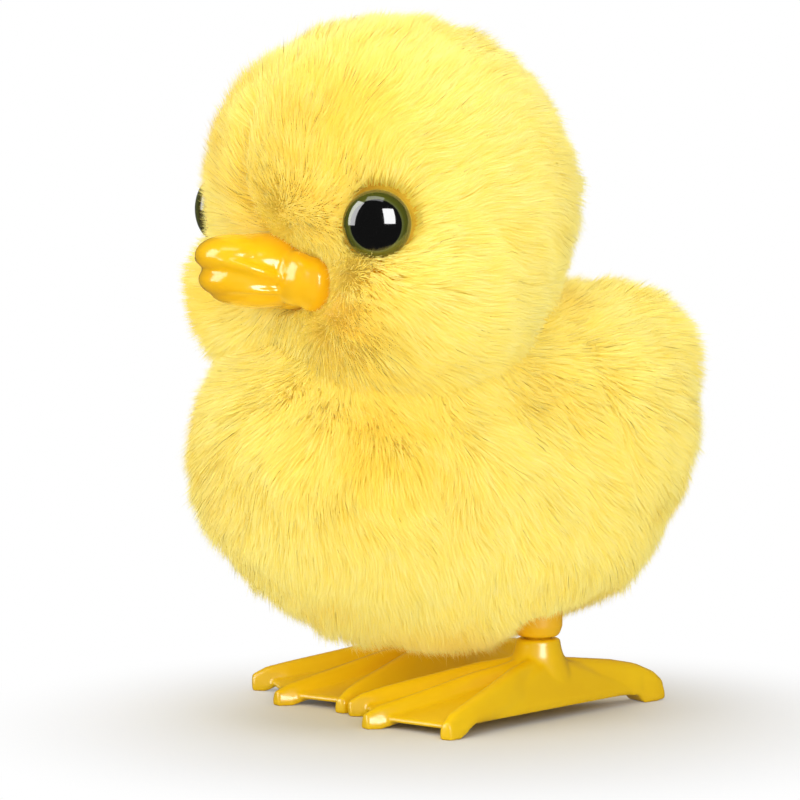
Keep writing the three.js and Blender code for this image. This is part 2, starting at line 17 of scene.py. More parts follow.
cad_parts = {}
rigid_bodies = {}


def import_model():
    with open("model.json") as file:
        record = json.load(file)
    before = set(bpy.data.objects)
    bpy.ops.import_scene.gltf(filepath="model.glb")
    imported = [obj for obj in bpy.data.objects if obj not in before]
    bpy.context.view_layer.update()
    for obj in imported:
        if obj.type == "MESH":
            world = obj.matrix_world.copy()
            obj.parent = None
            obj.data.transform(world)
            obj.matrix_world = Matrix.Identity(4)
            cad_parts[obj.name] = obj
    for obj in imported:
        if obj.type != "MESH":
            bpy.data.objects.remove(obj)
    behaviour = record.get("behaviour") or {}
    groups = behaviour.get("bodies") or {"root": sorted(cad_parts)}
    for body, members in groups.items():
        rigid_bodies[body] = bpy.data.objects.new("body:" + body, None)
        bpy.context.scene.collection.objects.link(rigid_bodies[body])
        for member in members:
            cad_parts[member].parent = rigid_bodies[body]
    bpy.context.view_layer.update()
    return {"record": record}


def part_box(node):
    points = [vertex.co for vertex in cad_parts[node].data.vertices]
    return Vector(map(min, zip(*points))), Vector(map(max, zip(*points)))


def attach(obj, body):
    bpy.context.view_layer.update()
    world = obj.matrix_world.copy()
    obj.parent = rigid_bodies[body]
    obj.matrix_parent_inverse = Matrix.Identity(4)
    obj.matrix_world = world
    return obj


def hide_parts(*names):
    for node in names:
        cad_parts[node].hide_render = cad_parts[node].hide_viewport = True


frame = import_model()

# %% [markdown]
# The maker's drawing counts in millimetres from the point of the floor midway between the ankles.
# The frame gives that point: it is midway between the two legs. So each piece is modelled in
# millimetres about the ankles, and `settle` moves it to its place in metres when it is finished.

# %% From the drawing to the frame
MM = 0.001
SMOOTH_UP_TO = math.radians(40)  # a sharper edge than this stays a crease


def middle_of(node):
    low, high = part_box(node)
    return (Vector(low) + Vector(high)) / 2


ankles = (middle_of("left_leg") + middle_of("right_leg")) / 2
ankles.z = 0.0
TO_FRAME = Matrix.Translation(ankles) @ Matrix.Scale(MM, 4)
print("ankles at", [round(v, 5) for v in ankles])


def select_none():
    """Nothing is selected, so that an operator acts on the next piece alone."""
    bpy.ops.object.select_all(action="DESELECT")


def only(obj):
    """obj is the one selected and active object."""
    select_none()
    obj.select_set(True)
    bpy.context.view_layer.objects.active = obj
    return obj


def edited(obj, operator, **settings):
    """Runs one edit-mode operator on the whole of obj."""
    only(obj)
    bpy.ops.object.mode_set(mode="EDIT")
    bpy.ops.mesh.select_all(action="SELECT")
    operator(**settings)
    bpy.ops.object.mode_set(mode="OBJECT")
    return obj


def tidy_normals(obj, merge=1e-4):
    """Merges doubled points and turns every face outwards."""
    edited(obj, bpy.ops.mesh.remove_doubles, threshold=merge)
    return edited(obj, bpy.ops.mesh.normals_make_consistent, inside=False)


def copy_of(obj):
    twin = obj.copy()
    twin.data = obj.data.copy()
    bpy.context.collection.objects.link(twin)
    return twin


def modify(obj, kind, **settings):
    """Adds a modifier and applies it at once."""
    only(obj)
    modifier = obj.modifiers.new(kind.title(), kind)
    for key, value in settings.items():
        setattr(modifier, key, value)
    bpy.ops.object.modifier_apply(modifier=modifier.name)
    return obj


def settle(obj, name, material, body, replaced):
    """The finished piece goes from the drawing to the frame and rides on its body."""
    only(obj)
    bpy.ops.object.transform_apply(location=True, rotation=True, scale=True)
    obj.data.transform(TO_FRAME)
    obj.name = obj.data.name = name
    bpy.ops.object.shade_smooth_by_angle(angle=SMOOTH_UP_TO)
    obj.data.materials.clear()
    obj.data.materials.append(material)
    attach(obj, body)
    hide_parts(replaced)
    print(f"{name}: {len(obj.data.polygons)} faces on {body}")
    return obj


# %% [markdown]
# ## Materials
# Plastic, cloth and steel are all made from the same few nodes. The colour wanders a little
# between two shades with a noise in the piece's own coordinates, and a finer noise lifts the
# surface, so that it never looks like flat paint. What is the same all over, such as the coat, is
# set on the shader itself.

# %% Node helpers
def linear(hexa):
    """A colour written as on a swatch card, as Blender's linear values."""
    parts = [int(hexa[i : i + 2], 16) / 255 for i in (0, 2, 4)]
    return [p / 12.92 if p <= 0.04045 else ((p + 0.055) / 1.055) ** 2.4 for p in parts] + [1.0]


def add_node(tree, kind, **values):
    """A node with some of its inputs or settings filled in."""
    made = tree.nodes.new("ShaderNode" + kind)
    for key, value in values.items():
        label = key.replace("_", " ")
        if label in made.inputs:
            made.inputs[label].default_value = value
        else:
            setattr(made, key, value)
    return made


def either(tree, share, first, second):
    """The first shader where the share is 0, and the second where it is 1."""
    made = add_node(tree, "MixShader")
    for socket, output in enumerate((share, first, second)):
        tree.links.new(output, made.inputs[socket])
    return made.outputs[0]


print("swatch FFE23A is", [round(v, 3) for v in linear("FFE23A")])

# %% A finish
class Finish:
    """A material with its shader, and short ways to add nodes to it."""

    def __init__(self, name, **values):
        self.material = bpy.data.materials.new(name)
        self.material.use_nodes = True
        self.tree = self.material.node_tree
        self.shader = self.tree.nodes["Principled BSDF"]
        for key, value in values.items():
            self.shader.inputs[key.replace("_", " ")].default_value = value
        self.place = self.node("TexCoord").outputs["Object"]

    def node(self, kind, **values):
        return add_node(self.tree, kind, **values)

    def fill(self, made, sockets):
        """Gives each numbered input a fixed value, or the output that it follows."""
        for socket, value in sockets:
            if isinstance(value, bpy.types.NodeSocket):
                self.link(value, made.inputs[socket])
            else:
                made.inputs[socket].default_value = value

    def link(self, output, target):
        self.tree.links.new(output, target)
        return output

    def noise(self, scale, detail=3.0, place=None):
        made = self.node("TexNoise", Scale=scale, Detail=detail)
        self.link(place or self.place, made.inputs["Vector"])
        return made.outputs["Fac"]

    def ramp(self, value, *stops):
        """Colours along a value: stops are (position, colour)."""
        made = self.node("ValToRGB")
        band = made.color_ramp
        while len(band.elements) < len(stops):
            band.elements.new(0.5)
        for element, (position, colour) in zip(band.elements, stops):
            element.position = position
            element.color = colour
        self.link(value, made.inputs["Fac"])
        return made.outputs["Color"]

    def mix(self, share, first, second):
        made = self.node("Mix", data_type="RGBA")
        self.fill(made, ((0, share), (6, first), (7, second)))  # its colour sockets
        return made.outputs[2]

    def math(self, operation, *values):
        made = self.node("Math", operation=operation)
        self.fill(made, enumerate(values))
        return made.outputs[0]

    def colour(self, output):
        self.link(output, self.shader.inputs["Base Color"])

    def bump(self, height, strength, distance):
        made = self.node("Bump", Strength=strength, Distance=distance)
        self.link(height, made.inputs["Height"])
        self.link(made.outputs["Normal"], self.shader.inputs["Normal"])


CLOUDS = 120  # the noise's scale for the slow change of shade: about 8 mm across
PEEL = 900  # and for the fine dimples of a moulding: about 1 mm
PEEL_LIFT = 2e-5


def moulded(name, light, dark, roughness, coat=0.0):
    """Moulded plastic: two close shades of its colour and a faint orange-peel surface."""
    made = Finish(name, Roughness=roughness, Coat_Weight=coat, Coat_Roughness=0.06)
    made.colour(made.ramp(made.noise(CLOUDS), (0.3, linear(dark)), (0.7, linear(light))))
    made.bump(made.noise(PEEL), 0.25, PEEL_LIFT)
    print("moulded finish:", name)
    return made.material


# %% [markdown]
# ## Camera, light and floor
# The toy stands on a white sweep of paper, seen from its left front with a long lens, a little
# from above. A long lens keeps the head and the feet at the same scale. The light is a white room
# with soft boxes all round. A black eye and a glossy bill show clear shapes only if most of what
# they mirror is dark. So the room is nearly dark to reflections, the broad boxes light the toy
# and aren't mirrored, and three more boxes, the glints, are mirrored and light nothing.

# %% Camera
VIEW_AIM = Vector((-7.3, -11.0, 43.7))
VIEW_TURN = math.radians(57.69)  # from straight ahead towards the chick's left
VIEW_RISE = math.radians(5.653)
VIEW_DISTANCE = 703.6
LENS = 219.24
SENSOR = 36
NEAREST = 0.01


def on_sphere(turn, rise, distance):
    """A point at that distance from the aim, turned from the chick's front towards its left."""
    flat = math.cos(rise)
    way = Vector((flat * math.sin(turn), -flat * math.cos(turn), math.sin(rise)))
    return TO_FRAME @ (VIEW_AIM + distance * way)


def facing(obj, place, target):
    """Puts a camera or a lamp at a place, turned towards a target."""
    obj.location = place
    obj.rotation_euler = (target - place).to_track_quat("-Z", "Y").to_euler()


aim = TO_FRAME @ VIEW_AIM
select_none()
bpy.ops.object.camera_add()
camera = bpy.context.object
camera.name = "view_camera"
camera.data.lens = LENS
camera.data.sensor_width = SENSOR
camera.data.clip_start = NEAREST
facing(camera, on_sphere(VIEW_TURN, VIEW_RISE, VIEW_DISTANCE), aim)
bpy.context.scene.camera = camera
print("camera at", [round(v, 3) for v in camera.location])

# %% Light
ROOM_LIGHT = 0.37
ROOM_MIRRORED = 0.07
scene = bpy.context.scene
scene.view_settings.view_transform = "Standard"
room = bpy.data.worlds.new("white_room")
scene.world = room
room.use_nodes = True
walls = room.node_tree
walls.nodes.clear()
lit, mirrored, seen = (
    add_node(walls, "Background", Color=(1, 1, 1, 1), Strength=strength).outputs[0]
    for strength in (ROOM_LIGHT, ROOM_MIRRORED, 1.0)
)
room_rays = add_node(walls, "LightPath").outputs
unseen = either(walls, room_rays["Is Glossy Ray"], lit, mirrored)
shown = either(walls, room_rays["Is Camera Ray"], unseen, seen)
walls.links.new(shown, add_node(walls, "OutputWorld").inputs["Surface"])
print("room:", ROOM_LIGHT, "and", ROOM_MIRRORED, "in reflections")

# %% Soft boxes
def soft_box(name, turn, rise, distance, width, height, watts):
    """A rectangular lamp that faces the chick, from that many degrees round and up."""
    select_none()
    bpy.ops.object.light_add(type="AREA")
    lamp = bpy.context.object
    lamp.name = name
    lamp.data.shape = "RECTANGLE"
    lamp.data.size, lamp.data.size_y = width, height
    lamp.data.energy = watts
    facing(lamp, on_sphere(math.radians(turn), math.radians(rise), distance), aim)
    return lamp


for box in (
    soft_box("front_left_box", -14, 30, 900, 0.8, 0.8, 2.25),
    soft_box("window_box", 82, 17, 1000, 0.52, 0.63, 2.1),
    soft_box("top_box", 40, 80, 900, 0.7, 0.5, 3.0),
    soft_box("fill_box", 52, 18, 900, 0.9, 0.9, 2.9),
    soft_box("back_box", 215, 40, 900, 0.9, 0.9, 1.8),
):
    box.visible_glossy = False
for glint in (
    soft_box("left_glint", -12, 24, 900, 0.5, 0.9, 8.0),
    soft_box("window_glint", 82, 18, 1000, 0.48, 0.6, 11.0),
    soft_box("top_glint", 40, 68, 900, 0.6, 0.3, 1.2),
):
    glint.visible_diffuse = False

# %% Floor
select_none()
bpy.ops.mesh.primitive_plane_add(size=6.0, location=(0, 0, 0))
floor = bpy.context.object
floor.name = "floor"
paper = Finish("white_paper", Base_Color=(0.74, 0.745, 0.76, 1), Roughness=0.75,
               Specular_IOR_Level=0.15)
floor.data.materials.append(paper.material)
print("floor of", round(floor.dimensions.x, 1), "m")

# %% [markdown]
# Away from the toy the sweep of paper looks as white as the room, and only the soft shadow round
# the feet shows. So what the camera sees of the floor fades to plain white with the distance from
# the shadow's middle, and reflections see a dim floor, as they see a dim room.

# %% The paper fades to white
WHITE_FROM, WHITE_BY = 0.02, 0.075  # metres from the shadow's middle
SHADOW_AT = ankles + Vector((15, -15, 0)) * MM
away_from = paper.node("VectorMath", operation="DISTANCE")
away_from.inputs[1].default_value = SHADOW_AT
paper.link(paper.place, away_from.inputs[0])
fade = paper.node("MapRange", interpolation_type="SMOOTHSTEP", From_Min=WHITE_FROM,
                  From_Max=WHITE_BY)
paper.link(away_from.outputs["Value"], fade.inputs["Value"])
floor_rays = paper.node("LightPath").outputs
seen_share = paper.math("MULTIPLY", fade.outputs["Result"], floor_rays["Is Camera Ray"])
white = paper.node("Emission").outputs[0]
dim = paper.node("Emission", Strength=ROOM_MIRRORED).outputs[0]
faded = either(paper.tree, seen_share, paper.shader.outputs[0], white)
shown = either(paper.tree, floor_rays["Is Glossy Ray"], faded, dim)
paper.link(shown, paper.tree.nodes["Material Output"].inputs["Surface"])
print("shadow's middle at", [round(v, 3) for v in SHADOW_AT])

# %% [markdown]
# ## The plush form
# The sewn and stuffed body is a soft union of ellipsoids, the same that the frame's panels are
# cut from. A function says roughly how far a point is from that form. Its slope is the direction
# in which the pile stands, and marching inwards along rays finds the surface at any depth.

# %% The form as a function
FORMS = [
    ((0, -17.5, 72.5), (26.5, 27, 26.8)),  # skull
    ((13, -23, 60.5), (17, 18.5, 15)),  # left cheek
    ((-13, -23, 60.5), (17, 18.5, 15)),  # right cheek
    ((0, -16.5, 37), (27.5, 30, 24.5)),  # breast
    ((0, -6, 31), (28, 31, 21.5)),  # belly
    ((0, 6, 40), (26, 24, 21)),  # rump
    ((0, 21, 49.5), (13.5, 11.5, 10.5)),  # tail
]
DENTS = [  # where the bill and its cuff press the plush in
    ((0, -46, 63.5), (14, 7.3, 7.5)),
    ((14.0, -43.0, 61.8), (5.5, 3.9, 5.5)),
    ((-14.0, -43.0, 61.8), (5.5, 3.9, 5.5)),
]
BLEND = 0.45
FORM_CENTRE = np.array((0, -12, 51))
PILE_DEPTH = 4.2  # the cloth that the pile is woven into lies this far inside the pile's outline
OUTSIDE = 80.0  # every ray starts this far out
MARCHES, MARCH_SHARE = 40, 0.8  # and steps in by this share of what is left


def from_ellipsoid(points, form):
    centre, radii = np.array(form[0]), np.array(form[1])
    q = (points - centre) / radii
    reach = np.linalg.norm(q, axis=-1)
    slope = np.linalg.norm(q / radii, axis=-1)
    return reach * (reach - 1) / np.maximum(slope, 1e-9)


def from_form(points):
    total = sum(np.exp(-BLEND * from_ellipsoid(points, form)) for form in FORMS)
    reach = -np.log(total) / BLEND
    for dent in DENTS:
        reach = np.logaddexp(BLEND * reach, -BLEND * from_ellipsoid(points, dent)) / BLEND
    return reach


def unit(vectors):
    return vectors / np.maximum(np.linalg.norm(vectors, axis=-1, keepdims=True), 1e-12)


def form_normals(points, step=0.05):
    """The direction straight out of the form."""
    slopes = [
        from_form(points + step * axis) - from_form(points - step * axis) for axis in np.eye(3)
    ]
    return unit(np.stack(slopes, axis=-1))


def form_surface(ways, depth):
    """Points of the form along directions from its centre, that far inside its outline."""
    reach = np.full(len(ways), OUTSIDE)
    for _ in range(MARCHES):
        reach -= MARCH_SHARE * (from_form(FORM_CENTRE + ways * reach[:, None]) + depth)
    return FORM_CENTRE + ways * reach[:, None]


def smoothstep(low, high, value):
    t = np.clip((value - low) / (high - low), 0, 1)
    return t * t * (3 - 2 * t)


def coordinates(mesh):
    flat = np.empty(len(mesh.vertices) * 3)
    mesh.vertices.foreach_get("co", flat)
    return flat.reshape(-1, 3)


print("forms:", len(FORMS), "dents:", len(DENTS))

# %% [markdown]
# ## Backing cloth
# Plush is a knitted backing with pile standing out of it. The backing is a fine sphere whose
# points are drawn onto the form. It is then cut along the seams into a left, a right and a bottom
# panel, opened for the legs, and given the cloth's thickness. It shows only as the deeper yellow
# between the tufts.

# %% Backing panels
BOTTOM_SEAM_Z = 18.0
CLOTH_THICK = 1.0
SEAM_HALF = 0.15
ANKLE_X = 12.2
LEG_ROOM = (4.0, 8.0)  # half the opening's width and length
ARBOR_YZ = (9.7, 39.54)
ARBOR_ROOM = 2.6

select_none()
bpy.ops.mesh.primitive_ico_sphere_add(subdivisions=7, radius=1)
skin = bpy.context.object
skin_ways = unit(coordinates(skin.data))
skin_points = form_surface(skin_ways, PILE_DEPTH)
skin.data.vertices.foreach_set("co", skin_points.ravel())
skin.data.update()
skin_normals = form_normals(skin_points)
uncut = copy_of(skin)  # kept whole, for scattering the pile over it
print("skin:", skin_points.min(axis=0).round(1), skin_points.max(axis=0).round(1))

backing_cloth = Finish("backing_cloth", Roughness=0.9, Sheen_Weight=0.2)
backing_cloth.colour(
    backing_cloth.ramp(
        backing_cloth.noise(400), (0.3, linear("E9B50E")), (0.7, linear("F7CE2C"))
    )
)
backing_cloth.bump(backing_cloth.noise(2500), 0.4, 5e-5)

# %% Seams and openings
def drop_faces(obj, inside):
    """Deletes the faces whose centres satisfy a test."""
    only(obj)
    for polygon in obj.data.polygons:
        polygon.select = bool(inside(polygon.center))
    bpy.ops.object.mode_set(mode="EDIT")
    bpy.ops.mesh.select_mode(type="FACE")
    bpy.ops.mesh.delete(type="FACE")
    bpy.ops.object.mode_set(mode="OBJECT")


def over_leg(place):
    half_wide, half_long = LEG_ROOM
    near = abs(abs(place.x) - ANKLE_X) < half_wide and abs(place.y) < half_long
    return near and place.z < BOTTOM_SEAM_Z + 5


def over_arbor(place):
    return place.x < 0 and math.hypot(place.y - ARBOR_YZ[0], place.z - ARBOR_YZ[1]) < ARBOR_ROOM


scores = [
    ((sign * ANKLE_X + edge * LEG_ROOM[0], 0, 0), (1, 0, 0)) for sign in (-1, 1) for edge in (-1, 1)
]
scores += [((0, edge * LEG_ROOM[1], 0), (0, 1, 0)) for edge in (-1, 1)]
for point, normal in scores:  # so that faces end at the openings' edges
    edited(skin, bpy.ops.mesh.bisect, plane_co=point, plane_no=normal)

ABOVE_SEAM = ((0, 0, BOTTOM_SEAM_Z + SEAM_HALF), (0, 0, -1))
PANELS = {  # a point of each cut, and the way out of the panel there
    "left": [((SEAM_HALF, 0, 0), (-1, 0, 0)), ABOVE_SEAM],
    "right": [((-SEAM_HALF, 0, 0), (1, 0, 0)), ABOVE_SEAM],
    "bottom": [((0, 0, BOTTOM_SEAM_Z - SEAM_HALF), (0, 0, 1))],
}
for side, cuts in PANELS.items():
    panel = copy_of(skin)
    for point, normal in cuts:
        edited(panel, bpy.ops.mesh.bisect, plane_co=point, plane_no=normal, clear_outer=True)
    drop_faces(panel, lambda place: over_leg(place) or over_arbor(place))
    modify(panel, "DECIMATE", ratio=0.5)
    modify(panel, "SOLIDIFY", thickness=CLOTH_THICK, offset=-1, use_even_offset=False)
    settle(panel, f"{side}_backing", backing_cloth.material, "chick",
           f"{side}_plush_panel")

# %% [markdown]
# ## The pile
# Each tuft of the pile is some twenty fibres whose tips cling together. Hair particles would make
# them in one step, but hair isn't a mesh and would be lost from the finished model. So each fibre
# is grown here as a narrow ribbon of three triangles. It stands up out of the backing, bends over
# the way that the fur is brushed, and leans towards the tip of its tuft. Three things give the
# look of real plush: the brushing, the clumping and the length, and each has its own short
# function.

# %% Where the fibres stand
rng = np.random.default_rng(20)
FIBRES = 500_000
TUFTS = 26_000
LOCKS = 1_500  # loose groups of tufts
EYE_AT = np.array((21.6, -33.0, 71.4))
EYE_TURN = math.radians(54.5)
EYE_R = 4.75
EYE_WAY = np.array((math.sin(EYE_TURN), -math.cos(EYE_TURN), 0))
BILL_AT = np.array((0, -40.0, 63.3))
BILL_ROOT = (10.2, 5.0)  # half its width and height where it meets the plush
FACE_AT = np.array((0, -43.0, 63.0))  # the fur is brushed away from here
FACE_CROWD, FACE_REACH = 1.4, 15  # so much denser near the face, and how far round
FAR = 99.0  # stands for too far off to matter
KNOB_RING = 2.3
LEG_RING = (3.9, 6.4)  # half the width and length of the ground that a leg leaves bare


def from_eye(points):
    """Sideways offset from the nearer eye's axis, and its length."""
    side = np.where(points[:, :1] < 0, -1, 1)
    near = points * np.concatenate([side, np.ones_like(points[:, 1:])], axis=1)
    offset = near - EYE_AT
    offset -= (offset @ EYE_WAY)[:, None] * EYE_WAY
    offset[:, 0] *= side[:, 0]
    reach = np.linalg.norm(offset, axis=1)
    return offset, np.where(points[:, 1] < -5, reach, FAR)


def from_bill(points):
    """How far a point is outside the bill's root, roughly, in millimetres."""
    q = np.hypot(points[:, 0] / BILL_ROOT[0], (points[:, 2] - BILL_AT[2]) / BILL_ROOT[1])
    reach = (q - 1) * BILL_ROOT[1] * 1.4
    return np.where(points[:, 1] < -15, reach, FAR)


def from_knob(points):
    """How far a point is from the winding arbor."""
    reach = np.hypot(points[:, 1] - ARBOR_YZ[0], points[:, 2] - ARBOR_YZ[1])
    return np.where(points[:, 0] < -10, reach, FAR)


def from_leg(points):
    """How far a point is outside the nearer leg's opening."""
    q = np.hypot((np.abs(points[:, 0]) - ANKLE_X) / LEG_RING[0], points[:, 1] / LEG_RING[1])
    return np.where(points[:, 2] < BOTTOM_SEAM_Z + 4, (q - 1) * 4, FAR)


def scatter(mesh, normals, count):
    """Points spread over a mesh's triangles, denser near the face, with smooth normals."""
    mesh.calc_loop_triangles()
    corners = np.empty(len(mesh.loop_triangles) * 3, dtype=np.int32)
    mesh.loop_triangles.foreach_get("vertices", corners)
    corners = corners.reshape(-1, 3)
    spots = coordinates(mesh)
    a, b, c = (spots[corners[:, k]] for k in range(3))
    areas = np.linalg.norm(np.cross(b - a, c - a), axis=1)
    areas *= 1 + FACE_CROWD * np.exp(-np.sum(((a - FACE_AT) / FACE_REACH) ** 2, axis=1))
    chosen = rng.choice(len(corners), size=count, p=areas / areas.sum())
    share = rng.random((count, 2))
    over = share.sum(axis=1) > 1
    share[over] = 1 - share[over]
    weights = np.stack([1 - share.sum(axis=1), share[:, 0], share[:, 1]], axis=1)
    points = np.einsum("nk,nkd->nd", weights, spots[corners[chosen]])
    return points, unit(np.einsum("nk,nkd->nd", weights, normals[corners[chosen]]))


roots, out = scatter(uncut.data, skin_normals, FIBRES)
bare = (from_eye(roots)[1] < EYE_R + 0.2) | (from_bill(roots) < 0)
bare |= (from_knob(roots) < KNOB_RING) | (from_leg(roots) < 0) | (np.abs(roots[:, 0]) < 0.05)
roots, out = roots[~bare], out[~bare]
for scrap in (uncut, skin):
    bpy.data.objects.remove(scrap)
print("fibres:", len(roots))

# %% [markdown]
# A hand that strokes the chick brushes its face away from the bill, its sides down and its back
# and tail backwards. The fur parts along the seam of the forehead and makes room for the eyes. A
# slow wavering, a sum of a few sine waves, keeps neighbouring tufts from lying quite alike.

# %% How the fur is brushed
TAIL_AT, TAIL_REACH = np.array((0, 27.0, 52.0)), 10.0
DOWN = unit(np.array((0.0, 0.3, -1.0)))
BACKWARDS = unit(np.array((0.0, 0.9, -0.5)))
PARTING_WIDE, PARTING_PUSH = 2.0, 0.6
EYE_RING, EYE_PUSH = 2.4, 0.15
WAVES, WAVE_RATE, WAVE_PEAK = 6, 2.2, 2.6
BROAD_TURN, FINE_TURN = np.radians((24, 8))  # how far the brushing wavers


def wander(points, size, seed):
    """A smooth wavering value, mostly from -1 to 1, over a distance of about size."""
    picks = np.random.default_rng(seed)
    total = np.zeros(len(points))
    for _ in range(WAVES):
        way = picks.normal(size=3) / size
        total += np.sin(points @ way * WAVE_RATE + picks.uniform(0, 6.28))
    return total / WAVE_PEAK


def turned(flow, across, angle):
    """The flow turned within the surface by an angle."""
    return flow * np.cos(angle)[:, None] + across * np.sin(angle)[:, None]


def round_eye(points):
    """From 0 to 1: how near a point is to the rim of an eye."""
    return np.exp(-(((from_eye(points)[1] - EYE_R) / EYE_RING) ** 2))


def parting(points):
    """From 0 to 1: how near a point is to the seam that parts the pile of the forehead."""
    forehead = smoothstep(66, 72, points[:, 2]) * smoothstep(12, 30, -points[:, 1])
    return np.exp(-((points[:, 0] / PARTING_WIDE) ** 2)) * forehead


def brushed(points, normals):
    """The direction along the surface in which the pile lies."""
    away = unit(points - FACE_AT)
    behind = smoothstep(-22, 2, points[:, 1])[:, None]
    head = smoothstep(42, 60, points[:, 2])[:, None]
    flow = (away * (1 - behind) + BACKWARDS * behind) * head + DOWN * (1 - head)
    tail = np.exp(-np.sum((points - TAIL_AT) ** 2, axis=1) / (2 * TAIL_REACH**2))[:, None]
    flow = flow * (1 - tail) + BACKWARDS * tail
    flow[:, 0] += np.sign(points[:, 0]) * parting(points) * PARTING_PUSH
    flow = flow + unit(from_eye(points)[0]) * EYE_PUSH * round_eye(points)[:, None]
    flow = unit(flow - np.sum(flow * normals, axis=1)[:, None] * normals)
    turn = BROAD_TURN * wander(points, 8.0, 3) + FINE_TURN * wander(points, 2.5, 4)
    return turned(flow, np.cross(normals, flow), turn)


# %% How long the fibres are
PILE_LONG, PILE_VARIES = 5.9, 0.5  # millimetres
BELLY_LONGER = 1.2


def pile_length(points):
    """Millimetres of fibre: short round the eyes, bill and key, and long under the belly."""
    length = PILE_LONG + PILE_VARIES * wander(points, 6.0, 5)
    length += BELLY_LONGER * (1 - smoothstep(12, 26, points[:, 2]))
    beside = smoothstep(5, 10, np.abs(points[:, 0]))
    for reach, least, span in (  # the share that is left at the rim, and how far out it is full
        (from_eye(points)[1] - EYE_R, 0.82, 4.0),
        (from_bill(points), 0.6 - 0.38 * beside, 5.5),
        (from_knob(points) - KNOB_RING, 0.5, 5.0),
        (from_leg(points), 0.7, 5.0),
    ):
        length *= least + (1 - least) * smoothstep(0, span, reach)
    return length


DROOP = np.radians(26)  # how far a fibre's upper half bends over


def grown(points, normals, flow, length, rise):
    """The middle and the tip of a fibre that starts at an angle off the normal and bends over."""

    def along(angle):
        return normals * np.cos(angle)[:, None] + flow * np.sin(angle)[:, None]

    half = (length / 2)[:, None]
    middle = points + half * along(rise)
    return middle, middle + half * along(rise + DROOP)


lengths = pile_length(roots)
print("pile:", lengths.min().round(1), "to", lengths.max().round(1), "mm")

# %% Where the pile is ruffled, and painted a deeper yellow as shade
RUFFLED = [  # where the pile has been rubbed apart, and how far round
    ((13.8, -37.5, 83.8), 7.5),
    ((21.4, -34.4, 42.0), 7.0),
    ((17.0, -37.0, 59.5), 4.5),
]


def ruffle(points):
    """From 0 to 1: how much the pile is ruffled apart. There the tips are painted a deeper yellow,
    as painted shade between the parted fibres.
    """
    folded = np.abs(points) * (1, 0, 0) + points * (0, 1, 1)
    total = sum(
        np.exp(-np.sum((folded - np.array(spot)) ** 2, axis=1) / (2 * size**2))
        for spot, size in RUFFLED
    )
    return np.clip(total * (1 + 0.5 * wander(points, 2.0, 9)), 0, 1)


ruffled = ruffle(roots)
print("ruffled share:", ruffled.mean().round(3))

# %% [markdown]
# The fibres grow in three steps. First each one gets its own lean and turn. Then its tip is drawn
# a little towards the head fibre of its loose lock, and then more strongly towards that of its
# tuft, because the tips of real pile cling together in two sizes of clump.

# %% Growing the fibres
def nearest(centres, points):
    tree = KDTree(len(centres))
    for index, centre in enumerate(centres):
        tree.insert(centre, index)
    tree.balance()
    return np.array([tree.find(point)[1] for point in points])


LEAN, LEAN_VARIES, LEAST_LEAN = 27, 9, 4  # degrees off the surface's normal
PARTING_LEAN, FACE_LEAN, EYE_LEAN = 12, 8, -4  # and what is added at these places
FACE_LEAN_REACH = 16
TURN_JITTER, RISE_JITTER, RUFFLED_RISE = np.radians((9, 6, 8))
HEAD_TURN_JITTER = np.radians(7)


def lean(points):
    """The angle of a fibre's lower half off the surface's normal, without its own jitter."""
    angle = LEAN + LEAN_VARIES * wander(points, 5.0, 6) + PARTING_LEAN * parting(points)
    angle += FACE_LEAN * np.exp(-np.sum(((points - FACE_AT) / FACE_LEAN_REACH) ** 2, axis=1))
    angle += EYE_LEAN * round_eye(points)
    return np.radians(np.maximum(angle, LEAST_LEAN))


flow = brushed(roots, out)
count = len(roots)
jitter = rng.normal(size=(count, 4))
across = np.cross(out, flow)
own_flow = turned(flow, across, TURN_JITTER * jitter[:, 0])
rise = lean(roots) + RISE_JITTER * (1 + 1.6 * ruffled) * jitter[:, 1]
rise -= RUFFLED_RISE * ruffled
middles, tips = grown(roots, out, own_flow, lengths * (1 + 0.1 * jitter[:, 2]), rise)

CLUMPS = (  # how many, their pull on the tips and on the middles, and their length
    (LOCKS, 0.08, 0.03, 1.0),
    (TUFTS, 0.3, 0.11, 1.02),
)
for groups, to_tip, to_middle, stretch in CLUMPS:
    heads = rng.choice(count, size=groups, replace=False)
    spread = nearest(roots[heads], roots)
    head_flow = turned(flow[heads], across[heads], HEAD_TURN_JITTER * rng.normal(size=groups))
    head_rise = lean(roots[heads]) + RISE_JITTER * rng.normal(size=groups)
    head_middles, head_tips = grown(
        roots[heads], out[heads], head_flow, pile_length(roots[heads]) * stretch, head_rise
    )
    pull = (to_tip * np.clip(1 + 0.35 * rng.normal(size=count), 0.2, 1.6))[:, None]
    tips = tips + (head_tips[spread] - tips) * pull
    middles = middles + (head_middles[spread] - middles) * pull * (to_middle / to_tip)
# Ruffled tufts lean to the deeper of the two tip yellows: painted shade between the parted fibres.
tuft_shade = np.clip(rng.random(TUFTS)[spread] - ruffled * 0.3, 0, 1)
print("tips:", tips.min(axis=0).round(1), tips.max(axis=0).round(1))

# %% [markdown]
# The ribbons are narrow, so their own faces would shade at random and the fur would look like
# chaff. Real fibres are round and half see-through, and together they shade like the soft surface
# that they cover. So each ribbon's shading normal is bent most of the way towards the normal of
# the form.

